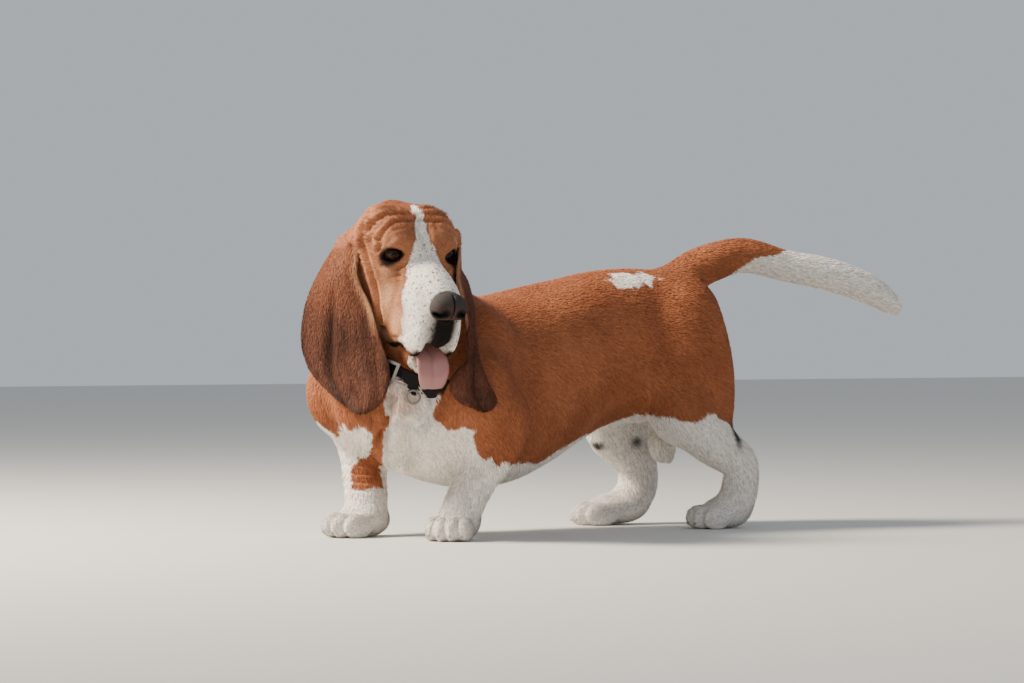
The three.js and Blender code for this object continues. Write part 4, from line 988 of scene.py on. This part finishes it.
def coatColour():
    tree, given, out = shaderGroup("coatColour", [
        ("Place", "NodeSocketVector", (0, 0, 0)), ("Lie", "NodeSocketVector", (0, 0, 0)),
        ("White", "NodeSocketFloat", 0.0), ("Ear", "NodeSocketFloat", 0.0), ("Dark", "NodeSocketFloat", 0.0),
        ("Cream", "NodeSocketFloat", 0.0), ("Haw", "NodeSocketFloat", 0.0), ("Shade", "NodeSocketFloat", 0.0),
        ("Tick", "NodeSocketFloat", 0.5),
    ], [("Color", "NodeSocketColor"), ("Grain", "NodeSocketFloat")])
    place = given.outputs["Place"]
    along = node(tree, "ShaderNodeVectorMath", operation="DOT_PRODUCT")
    wire(tree, place, along.inputs[0])
    wire(tree, given.outputs["Lie"], along.inputs[1])
    shift = node(tree, "ShaderNodeVectorMath", operation="SCALE")
    wire(tree, given.outputs["Lie"], shift.inputs[0])
    wire(tree, maths(tree, "MULTIPLY", along.outputs["Value"], 0.8), shift.inputs["Scale"])
    combed = node(tree, "ShaderNodeVectorMath", operation="SUBTRACT")
    wire(tree, place, combed.inputs[0])
    wire(tree, shift.outputs[0], combed.inputs[1])

    def cloud(scale, detail=2.0, where=place):
        made = node(tree, "ShaderNodeTexNoise")
        made.inputs["Scale"].default_value = scale
        made.inputs["Detail"].default_value = detail
        wire(tree, where, made.inputs["Vector"])
        return made.outputs["Fac"]

    def above(value, level, gain):
        return maths(tree, "MULTIPLY", maths(tree, "SUBTRACT", value, level), gain, clamp=True)

    edge = maths(tree, "MULTIPLY", maths(tree, "SUBTRACT", cloud(55, 4), 0.5), 15)
    whiteness = maths(tree, "ADD", given.outputs["White"], edge)
    whiteness = maths(tree, "ADD", maths(tree, "MULTIPLY", whiteness, 0.55), 0.5, clamp=True)
    broad = cloud(13, 2)
    fine = cloud(620, 3, combed.outputs[0])
    tone = maths(tree, "ADD", maths(tree, "MULTIPLY", broad, 1.1), maths(tree, "MULTIPLY", fine, 0.6))
    tone = maths(tree, "SUBTRACT", tone, 0.42, clamp=True)
    rust = mixed(tree, tone, coatLook["rust"], coatLook["rustLight"])
    streaks = maths(tree, "ADD", maths(tree, "MULTIPLY", cloud(70, 3, combed.outputs[0]), 0.6),
                    maths(tree, "MULTIPLY", cloud(22, 2), 0.5))
    earColour = mixed(tree, above(streaks, 0.40, 3.2), coatLook["chestnut"], coatLook["earLight"])
    earColour = mixed(tree, above(cloud(95, 2), 0.67, 7.0), earColour, coatLook["earSpot"])
    colour = mixed(tree, given.outputs["Ear"], rust, earColour)
    specks = maths(tree, "MULTIPLY", above(cloud(230, 1), 0.60, 9.0), given.outputs["Tick"])
    pale = mixed(tree, specks, coatLook["white"], coatLook["tick"])
    colour = mixed(tree, whiteness, colour, pale)
    creamy = maths(tree, "MULTIPLY", given.outputs["Cream"], maths(tree, "ADD", broad, 0.25), clamp=True)
    colour = mixed(tree, creamy, colour, coatLook["cream"])
    colour = mixed(tree, given.outputs["Dark"], colour, coatLook["dark"])
    colour = mixed(tree, given.outputs["Haw"], colour, coatLook["haw"])
    bright = node(tree, "ShaderNodeHueSaturation")
    wire(tree, maths(tree, "ADD", given.outputs["Shade"], 1.0), bright.inputs["Value"])
    wire(tree, colour, bright.inputs["Color"])
    colour = bright.outputs[0]
    wire(tree, colour, out.inputs["Color"])
    wire(tree, fine, out.inputs["Grain"])
    return tree


colourGroup = coatColour()


def material(name, roughness=0.6, metallic=0.0, colour=None, **settings):
    made = bpy.data.materials.new(name)
    made.use_nodes = True
    shader = made.node_tree.nodes["Principled BSDF"]
    shader.inputs["Roughness"].default_value = roughness
    shader.inputs["Metallic"].default_value = metallic
    if colour is not None:
        shader.inputs["Base Color"].default_value = colour
    for label, value in settings.items():
        shader.inputs[label].default_value = value
    return made, made.node_tree, shader


def coatMaterial(name, bump):
    made, tree, shader = material(name, 0.62)
    colour = node(tree, "ShaderNodeGroup", node_tree=colourGroup)
    place = node(tree, "ShaderNodeTexCoord")
    wire(tree, place.outputs["Object"], colour.inputs["Place"])
    for label in ("white", "ear", "dark", "cream", "haw", "shade", "tick"):
        found = node(tree, "ShaderNodeAttribute", attribute_name=label)
        wire(tree, found.outputs["Fac"], colour.inputs[label.capitalize()])
    flow = node(tree, "ShaderNodeAttribute", attribute_name="lie")
    wire(tree, flow.outputs["Vector"], colour.inputs["Lie"])
    wire(tree, colour.outputs["Color"], shader.inputs["Base Color"])
    lift = node(tree, "ShaderNodeBump")
    lift.inputs["Strength"].default_value = bump
    lift.inputs["Distance"].default_value = 0.0008
    wire(tree, colour.outputs["Grain"], lift.inputs["Height"])
    wire(tree, lift.outputs["Normal"], shader.inputs["Normal"])
    shader.inputs["Specular IOR Level"].default_value = 0.12
    return made


skinMaterial = coatMaterial("coatUnder", 0.6)
hairMaterial = coatMaterial("coatHair", 0.2)
skin.data.materials.append(skinMaterial)

print("coat")
hair = {
    "length": 0.0085, "width": 0.0012, "density": 504000, "lift": 5.5, "liftSpread": 6.0, "swing": 13.0,
    "darkest": -0.30, "palest": 0.34, "most": 50400,
}


def bladeMesh():
    points = [(0, -0.5, -0.03), (0, 0.5, -0.03), (0.5, -0.42, 0.10), (0.5, 0.42, 0.10), (1, 0, 0.04)]
    mesh = bpy.data.meshes.new("blade")
    mesh.from_pydata(points, [], [(0, 2, 1), (1, 2, 3), (2, 4, 3)])
    mesh.polygons.foreach_set("use_smooth", [True] * 3)
    made = bpy.data.objects.new("blade", mesh)
    bpy.context.scene.collection.objects.link(made)
    return made


def coatTree(blade):
    tree = bpy.data.node_groups.new("coatTufts", "GeometryNodeTree")
    tree.interface.new_socket("Geometry", in_out="INPUT", socket_type="NodeSocketGeometry")
    for label, kind, value in (("Density", "NodeSocketFloat", 1000.0), ("Length", "NodeSocketFloat", 0.01),
                               ("Width", "NodeSocketFloat", 0.001), ("Lift", "NodeSocketFloat", 0.1),
                               ("Lift Spread", "NodeSocketFloat", 0.1), ("Swing", "NodeSocketFloat", 0.1),
                               ("Seed", "NodeSocketInt", 1)):
        made = tree.interface.new_socket(label, in_out="INPUT", socket_type=kind)
        made.default_value = value
    tree.interface.new_socket("Geometry", in_out="OUTPUT", socket_type="NodeSocketGeometry")
    given = node(tree, "NodeGroupInput")
    out = node(tree, "NodeGroupOutput")

    def named(label, kind="FLOAT"):
        made = node(tree, "GeometryNodeInputNamedAttribute", data_type=kind)
        made.inputs["Name"].default_value = label
        return made.outputs["Attribute"]

    def chance(low, high, shift):
        made = node(tree, "FunctionNodeRandomValue", data_type="FLOAT")
        for socket, value in ((made.inputs[2], low), (made.inputs[3], high)):
            if isinstance(value, (int, float)):
                socket.default_value = value
            else:
                wire(tree, value, socket)
        wire(tree, maths(tree, "ADD", given.outputs["Seed"], shift), made.inputs["Seed"])
        return made.outputs[1]

    points = node(tree, "GeometryNodeDistributePointsOnFaces")
    wire(tree, given.outputs["Geometry"], points.inputs["Mesh"])
    dense = maths(tree, "MULTIPLY", given.outputs["Density"], named("tuftShare"))
    wire(tree, dense, points.inputs["Density"])
    wire(tree, given.outputs["Seed"], points.inputs["Seed"])
    shade = node(tree, "GeometryNodeStoreNamedAttribute", data_type="FLOAT", domain="POINT")
    shade.inputs["Name"].default_value = "shade"
    wire(tree, points.outputs["Points"], shade.inputs["Geometry"])
    wire(tree, chance(hair["darkest"], hair["palest"], 51), shade.inputs["Value"])
    aim = node(tree, "FunctionNodeAxesToRotation", primary_axis="Z", secondary_axis="X")
    wire(tree, points.outputs["Normal"], aim.inputs["Primary Axis"])
    wire(tree, named("lie", "FLOAT_VECTOR"), aim.inputs["Secondary Axis"])
    spread = maths(tree, "MULTIPLY", given.outputs["Lift Spread"], chance(-1.0, 1.0, 11))
    tip = maths(tree, "MULTIPLY", maths(tree, "ADD", given.outputs["Lift"], spread), -1.0)
    swing = maths(tree, "MULTIPLY", given.outputs["Swing"], chance(-1.0, 1.0, 23))
    angles = node(tree, "ShaderNodeCombineXYZ")
    wire(tree, tip, angles.inputs[1])
    wire(tree, swing, angles.inputs[2])
    turn = node(tree, "FunctionNodeEulerToRotation")
    wire(tree, angles.outputs[0], turn.inputs[0])
    both = node(tree, "FunctionNodeRotateRotation", rotation_space="LOCAL")
    wire(tree, aim.outputs[0], both.inputs[0])
    wire(tree, turn.outputs[0], both.inputs[1])
    size = named("tuftSize")
    long = maths(tree, "MULTIPLY", given.outputs["Length"], size)
    long = maths(tree, "MULTIPLY", long, chance(0.7, 1.25, 37))
    wide = maths(tree, "ADD", maths(tree, "MULTIPLY", size, 0.6), 0.4)
    wide = maths(tree, "MULTIPLY", given.outputs["Width"], wide)
    scale = node(tree, "ShaderNodeCombineXYZ")
    wire(tree, long, scale.inputs[0])
    wire(tree, wide, scale.inputs[1])
    wire(tree, long, scale.inputs[2])
    shape = node(tree, "GeometryNodeObjectInfo")
    shape.inputs["Object"].default_value = blade
    place = node(tree, "GeometryNodeInstanceOnPoints")
    wire(tree, shade.outputs["Geometry"], place.inputs["Points"])
    wire(tree, shape.outputs["Geometry"], place.inputs["Instance"])
    wire(tree, both.outputs[0], place.inputs["Rotation"])
    wire(tree, scale.outputs[0], place.inputs["Scale"])
    real = node(tree, "GeometryNodeRealizeInstances")
    wire(tree, place.outputs["Instances"], real.inputs["Geometry"])
    finish = node(tree, "GeometryNodeSetMaterial")
    finish.inputs["Material"].default_value = hairMaterial
    wire(tree, real.outputs["Geometry"], finish.inputs["Geometry"])
    wire(tree, finish.outputs["Geometry"], out.inputs["Geometry"])
    return tree


blade = bladeMesh()
tuftTree = coatTree(blade)
sockets = {item.name: item.identifier for item in tuftTree.interface.items_tree if item.in_out == "INPUT"}

# Regions of the skin, each split along the body until none carries too many tufts
faceCount = len(skin.data.polygons)
faceCentre = np.zeros(faceCount * 3, np.float32)
faceArea = np.zeros(faceCount, np.float32)
skin.data.polygons.foreach_get("center", faceCentre)
skin.data.polygons.foreach_get("area", faceArea)
faceCentre = faceCentre.reshape(-1, 3) * 1000 - toRow
share = np.array([skin.data.attributes["tuftShare"].data[p.vertices[0]].value for p in skin.data.polygons])
region = np.zeros(faceCount, int)
faceHead = toHead(faceCentre)
faceStraight = straighten(faceCentre)
region[faceStraight[:, 1] > 0] = 1
region[faceStraight[:, 0] > 520] = 2
region[onSkull(faceHead) & (faceHead[:, 1] > -90)] = 3
faceEar = np.array([skinEar[p.vertices[0]] for p in skin.data.polygons])
region[(faceEar > 0.5) & (faceHead[:, 0] < 0)] = 4
region[(faceEar > 0.5) & (faceHead[:, 0] >= 0)] = 5
regionNames = ["coatRight", "coatLeft", "coatFront", "coatHead", "coatEarRight", "coatEarLeft"]


def growCoat(name, chosen, seed, density):
    part = skin.copy()
    part.data = skin.data.copy()
    bpy.context.scene.collection.objects.link(part)
    cut = bmesh.new()
    cut.from_mesh(part.data)
    cut.faces.ensure_lookup_table()
    gone = [cut.faces[i] for i in np.flatnonzero(~chosen)]
    bmesh.ops.delete(cut, geom=gone, context="FACES")
    cut.to_mesh(part.data)
    cut.free()
    modifier = part.modifiers.new("tufts", "NODES")
    modifier.node_group = tuftTree
    lift, spread, swing = (math.radians(hair[key]) for key in ("lift", "liftSpread", "swing"))
    for label, value in (("Density", density), ("Length", hair["length"]), ("Width", hair["width"]),
                         ("Lift", lift), ("Lift Spread", spread), ("Swing", swing), ("Seed", seed)):
        modifier[sockets[label]] = value
    evaluated = part.evaluated_get(bpy.context.evaluated_depsgraph_get())
    mesh = bpy.data.meshes.new_from_object(evaluated)
    made = bpy.data.objects.new(name, mesh)
    bpy.data.objects.remove(part)
    bpy.context.scene.collection.objects.link(made)
    setBakeMap(mesh)
    return made


def setBakeMap(mesh):
    roots = mesh.attributes.get("OFBake")
    count = len(mesh.vertices)
    if roots.domain == "POINT":
        root = np.zeros(count * 2, np.float32)
        roots.data.foreach_get("vector", root)
        root = root.reshape(-1, 2)
    else:
        loops = np.zeros(len(mesh.loops) * 2, np.float32)
        roots.data.foreach_get("vector", loops)
        vertex = np.zeros(len(mesh.loops), int)
        mesh.loops.foreach_get("vertex_index", vertex)
        root = np.zeros((count, 2), np.float32)
        root[vertex] = loops.reshape(-1, 2)
    patch = np.array([(0, 0), (1, 0), (0, 0.6), (1, 0.6), (0.5, 1)]) * 0.003 - 0.0015
    root = root + np.tile(patch, (count // 5, 1))
    vertex = np.zeros(len(mesh.loops), int)
    mesh.loops.foreach_get("vertex_index", vertex)
    if roots.domain == "POINT":
        mesh.attributes.remove(roots)
    layer = mesh.uv_layers.get("OFBake") or mesh.uv_layers.new(name="OFBake")
    layer.data.foreach_set("uv", np.clip(root[vertex], 0, 1).astype(np.float32).ravel())


coats = []
density = hair["density"] * 1.0
for number, name in enumerate(regionNames):
    chosen = region == number
    tufts = (faceArea * share)[chosen].sum() * density
    parts = max(1, math.ceil(tufts / hair["most"]))
    along = faceStraight[:, 0] if number < 3 else faceCentre[:, 2]
    edges = np.quantile(along[chosen], np.linspace(0, 1, parts + 1))
    for k in range(parts):
        some = chosen & (along >= edges[k]) & ((along < edges[k + 1]) | (k == parts - 1))
        coats.append(growCoat(f"{name}_{k + 1}", some, 7 + number * 10 + k, density))
        print(f"{coats[-1].name} has {len(coats[-1].data.polygons)} triangles")
bpy.data.objects.remove(blade)

print("eyes")
eyeStops = [
    (0.20, (0.003, 0.002, 0.002, 1)), (0.25, (0.030, 0.011, 0.005, 1)), (0.54, (0.016, 0.007, 0.004, 1)),
    (0.60, (0.012, 0.006, 0.005, 1)), (0.82, (0.16, 0.06, 0.05, 1)),
]
cornea = {"swell": 0.07, "wide": 0.34, "lookOut": 0.7}


def sphereMesh(centre, radius, axis, rings=24, around=32):
    across = unit(np.cross(axis, (0, 0, 1)))
    high = np.cross(across, axis)
    points = [centre + axis * radius]
    for i in range(1, rings):
        polar = math.pi * i / rings
        for j in range(around):
            turn = 2 * math.pi * j / around
            points.append(centre + radius * (axis * math.cos(polar) + math.sin(polar)
                                             * (across * math.cos(turn) + high * math.sin(turn))))
    points.append(centre - axis * radius)
    faces = [(0, 1 + (j + 1) % around, 1 + j) for j in range(around)]
    for i in range(rings - 2):
        for j in range(around):
            a = 1 + i * around + j
            b = 1 + i * around + (j + 1) % around
            faces.append((a, b, b + around, a + around))
    last = len(points) - 1
    start = 1 + (rings - 2) * around
    faces += [(last, start + j, start + (j + 1) % around) for j in range(around)]
    return np.array(points), faces


eyeMaterial, eyeTree, eyeShader = material("eyeSurface", 0.07, **{"Specular IOR Level": 0.14})
offAxis = node(eyeTree, "ShaderNodeAttribute", attribute_name="offAxis")
ramp = node(eyeTree, "ShaderNodeValToRGB")
ramp.color_ramp.elements[0].position = 0.0
ramp.color_ramp.elements[0].color = (0.004, 0.003, 0.003, 1)
ramp.color_ramp.elements[1].position = 1.0
ramp.color_ramp.elements[1].color = (0.30, 0.12, 0.09, 1)
for position, colour in eyeStops:
    ramp.color_ramp.elements.new(position).color = colour
wire(eyeTree, offAxis.outputs["Fac"], ramp.inputs["Fac"])
wire(eyeTree, ramp.outputs["Color"], eyeShader.inputs["Base Color"])
eyes = []
for name, side in (("left", 1), ("right", -1)):
    out = math.radians(eye["lookOut"] * cornea["lookOut"])
    up = math.radians(eye["lookUp"])
    axis = np.array([side * math.sin(out) * math.cos(up), math.cos(out) * math.cos(up), math.sin(up)])
    centre = np.array((side * eye["at"][0], eye["at"][1], eye["at"][2]))
    points, faces = sphereMesh(centre, eye["radius"], axis)
    off = np.arccos(np.clip(unit(points - centre) @ axis, -1, 1)) / (math.pi / 2)
    swell = 1 + cornea["swell"] * np.exp(-(off / cornea["wide"]) ** 2)
    points = centre + (points - centre) * swell[:, None]
    ball = meshOf(f"eyeball_{name}", fromHead(points), faces)
    attribute(ball, "offAxis", off)
    ball.data.materials.append(eyeMaterial)
    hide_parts(f"eye_{name}")
    eyes.append(ball)

print("nose")
noseLook = {
    "top": (0.036, 0.030, 0.028, 1), "front": (0.050, 0.024, 0.020, 1), "hole": (0.003, 0.002, 0.002, 1),
}
noseMaterial, noseTree, noseShader = material("noseSurface", 0.72, **{"Specular IOR Level": 0.22})
pebbles = node(noseTree, "ShaderNodeTexVoronoi")
pebbles.inputs["Scale"].default_value = 800
nosePlace = node(noseTree, "ShaderNodeTexCoord")
wire(noseTree, nosePlace.outputs["Object"], pebbles.inputs["Vector"])
noseBump = node(noseTree, "ShaderNodeBump")
noseBump.inputs["Strength"].default_value = 0.85
noseBump.inputs["Distance"].default_value = 0.0006
wire(noseTree, pebbles.outputs["Distance"], noseBump.inputs["Height"])
wire(noseTree, noseBump.outputs["Normal"], noseShader.inputs["Normal"])
noseFront = node(noseTree, "ShaderNodeAttribute", attribute_name="front")
noseHole = node(noseTree, "ShaderNodeAttribute", attribute_name="hole")
noseColour = mixed(noseTree, noseFront.outputs["Fac"], noseLook["top"], noseLook["front"])
noseColour = mixed(noseTree, noseHole.outputs["Fac"], noseColour, noseLook["hole"])
wire(noseTree, noseColour, noseShader.inputs["Base Color"])


def noseField(h):
    d = headParts(noseShape, h)
    d = -joined(-d, headParts(nostrils, h), 2)
    cleft = np.abs(h[:, 0]) - 0.8 + np.maximum(104 - h[:, 1], 0)
    return -joined(-d, cleft, 2.5)


nosePoints, noseQuads = surfaceNet(noseField, (-34, 74, -54), (34, 130, 4), 1.2)
noseLeather = meshOf("noseLeather", fromHead(nosePoints), noseQuads.tolist())
noseAhead = np.clip((nosePoints[:, 1] - 106) / 8, 0, 1)
attribute(noseLeather, "front", noseAhead * np.clip((-14 - nosePoints[:, 2]) / 10, 0, 1))
attribute(noseLeather, "hole", np.clip(1.5 - headParts(nostrils, nosePoints) / 2.6, 0, 1))
noseLeather.data.materials.append(noseMaterial)
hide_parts("nose")

print("tongue")
tongueMaterial, _, tongueShader = material("tongueSurface", 0.34, colour=(0.38, 0.165, 0.155, 1),
                                                    **{"Subsurface Weight": 0.15, "Coat Weight": 0.3})
tongueShader.inputs["Subsurface Radius"].default_value = (0.004, 0.0015, 0.001)


tongueLine = smoothLine(tongue["line"], 8)
tongueAcross = np.linspace(-1, 1, 15)
tongueGrid = []
for i, (x, y, z, half) in enumerate(tongueLine):
    end = np.clip((i - len(tongueLine) + 6) / 5, 0, 1)
    drop = (5 * tongueAcross ** 2 - 2.6 * np.exp(-(tongueAcross / 0.12) ** 2)) * (1 - 0.8 * end)
    side = half * tongueAcross * math.sqrt(1 - 0.35 * end ** 2)
    tongueGrid.append(np.stack([x + side, np.full(15, y), z + drop], axis=1))
tongueGrid = fromHead(np.array(tongueGrid))
tongueHalf = tongue["thickness"] / 2 * np.sqrt(np.clip(1.05 - tongueAcross ** 2, 0.08, 1))[None, :, None]
tongueSkin = meshOf("tongueSkin", *thickSheet(tongueGrid, tongueHalf))
tongueSkin.data.materials.append(tongueMaterial)
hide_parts("tongue")

print("claws")
clawLook = {"length": 17, "radius": 3.4, "height": 12, "ahead": 17, "rings": 6, "sides": 10}
clawMaterial, _, _ = material("clawSurface", 0.35, colour=(0.10, 0.075, 0.06, 1))
clawPoints = []
clawFaces = []
for leg in legs.values():
    at = leg["paw"]
    turn = math.radians(at[2])
    for i in (-1.5, -0.5, 0.5, 1.5):
        x = (paw["middleReach"] if abs(i) < 1 else paw["reach"]) + clawLook["ahead"]
        rings = clawLook["rings"]
        sides = clawLook["sides"]
        for ring in range(rings):
            t = ring / (rings - 1)
            radius = clawLook["radius"] * (1 - t) ** 0.7 + 0.25
            reach = x + clawLook["length"] * (t - 0.5) * 0.9
            height = clawLook["height"] + 3 - 9 * t * t
            for k in range(sides):
                angle = 2 * math.pi * k / sides
                side = i * paw["spread"] + radius * 0.75 * math.cos(angle)
                s = at[0] + reach * math.cos(turn) - side * math.sin(turn)
                u = at[1] + reach * math.sin(turn) + side * math.cos(turn)
                clawPoints.append(bend((s, u, max(height + radius * math.sin(angle), 0.2)))[0])
        base = len(clawPoints) - rings * sides
        for ring in range(rings - 1):
            for k in range(sides):
                a = base + ring * sides + k
                b = base + ring * sides + (k + 1) % sides
                clawFaces.append((a, b, b + sides, a + sides))
        tip = base + (rings - 1) * sides
        clawFaces.append(tuple(tip + k for k in range(sides)))
        clawFaces.append(tuple(base + k for k in range(sides - 1, -1, -1)))
claws = meshOf("claws", clawPoints, clawFaces)
claws.data.materials.append(clawMaterial)
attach(claws, "root")

print("collar")
strapMaterial, _, strapShader = material("strapSurface", 0.6, colour=(0.008, 0.007, 0.007, 1))
strapShader.inputs["Specular IOR Level"].default_value = 0.2
metalMaterial, _, _ = material("metalSurface", 0.35, 1.0, (0.30, 0.29, 0.27, 1))
collarPieces = []
for name, look, slot in (("collar_strap", strapMaterial, "collar_leather"),
                         ("collar_buckle", metalMaterial, "collar_metal"),
                         ("collar_ring", metalMaterial, "collar_metal")):
    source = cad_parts[name]
    mesh = source.data.copy()
    mesh.materials.clear()
    mesh.materials.append(look)
    made = bpy.data.objects.new(f"{name}Look", mesh)
    bpy.context.scene.collection.objects.link(made)
    made.matrix_world = source.matrix_world
    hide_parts(name)
    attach(made, "root")
    collarPieces.append(made)

print("frame ties")
covered = ["abdomen", "chest", "neck", "head", "lower_jaw", "ear_left", "ear_right", "hindquarters",
           "tail_root", "tail_middle", "tail_tip"]
for leg in ("foreleg_left", "foreleg_right", "hindleg_left", "hindleg_right"):
    covered += [leg, f"{leg}_paw"]
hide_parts(*covered)
for piece in [skin, *coats, *eyes, noseLeather, tongueSkin]:
    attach(piece, "root")

print("room")


def plane(name, corners, colour):
    mesh = bpy.data.meshes.new(name)
    mesh.from_pydata(corners, [], [tuple(range(len(corners)))])
    made = bpy.data.objects.new(name, mesh)
    bpy.context.scene.collection.objects.link(made)
    look, _, _ = material(f"{name}Surface", 0.9, colour=colour)
    mesh.materials.append(look)
    return made


room = {"reach": 12, "floor": (0.62, 0.61, 0.58, 1), "sky": (0.80, 0.86, 0.93, 1), "skyStrength": 0.60}
reach = room["reach"]
floor = plane("floor", [(-reach, -reach, 0), (reach, -reach, 0), (reach, reach, 0), (-reach, reach, 0)],
              room["floor"])
world = bpy.data.worlds.new("room")
bpy.context.scene.world = world
world.use_nodes = True
sky = world.node_tree.nodes["Background"]
sky.inputs[0].default_value = room["sky"]
sky.inputs[1].default_value = room["skyStrength"]


def areaLight(name, place, target, size, power, colour):
    data = bpy.data.lights.new(name, "AREA")
    data.size = size
    data.energy = power
    data.color = colour
    made = bpy.data.objects.new(name, data)
    bpy.context.scene.collection.objects.link(made)
    made.location = place
    made.rotation_mode = "QUATERNION"
    made.rotation_quaternion = (Vector(target) - Vector(place)).to_track_quat("-Z", "Y")
    return made


right = Vector(viewRight)
ahead = Vector(viewAhead)
keyPlace = Vector((-0.1, 0, 2.1)) - right * 2.2 - ahead * 0.35
areaLight("key", keyPlace, (-0.1, 0, 0.25), 0.8, 270, (1.0, 0.88, 0.72))
fillPlace = Vector((0, 0, 1.9)) - ahead * 3.0 + right * 1.0
areaLight("fill", fillPlace, (0, 0, 0.25), 2.6, 10, (0.90, 0.95, 1.0))

print("camera")
camera = bpy.data.objects.new("camera", bpy.data.cameras.new("camera"))
bpy.context.scene.collection.objects.link(camera)
middle = Vector(np.array(view["middle"]) / 1000 + toRow / 1000)
camera.location = middle - ahead * (view["away"] / 1000) + Vector((0, 0, view["height"] / 1000))
aim = ahead - Vector((0, 0, math.tan(math.radians(view["down"]))))
camera.rotation_mode = "QUATERNION"
camera.rotation_quaternion = aim.to_track_quat("-Z", "Y")
camera.data.lens = view["lens"]
camera.data.sensor_width = 36
camera.data.clip_end = 60
bpy.context.scene.camera = camera

print("finish")
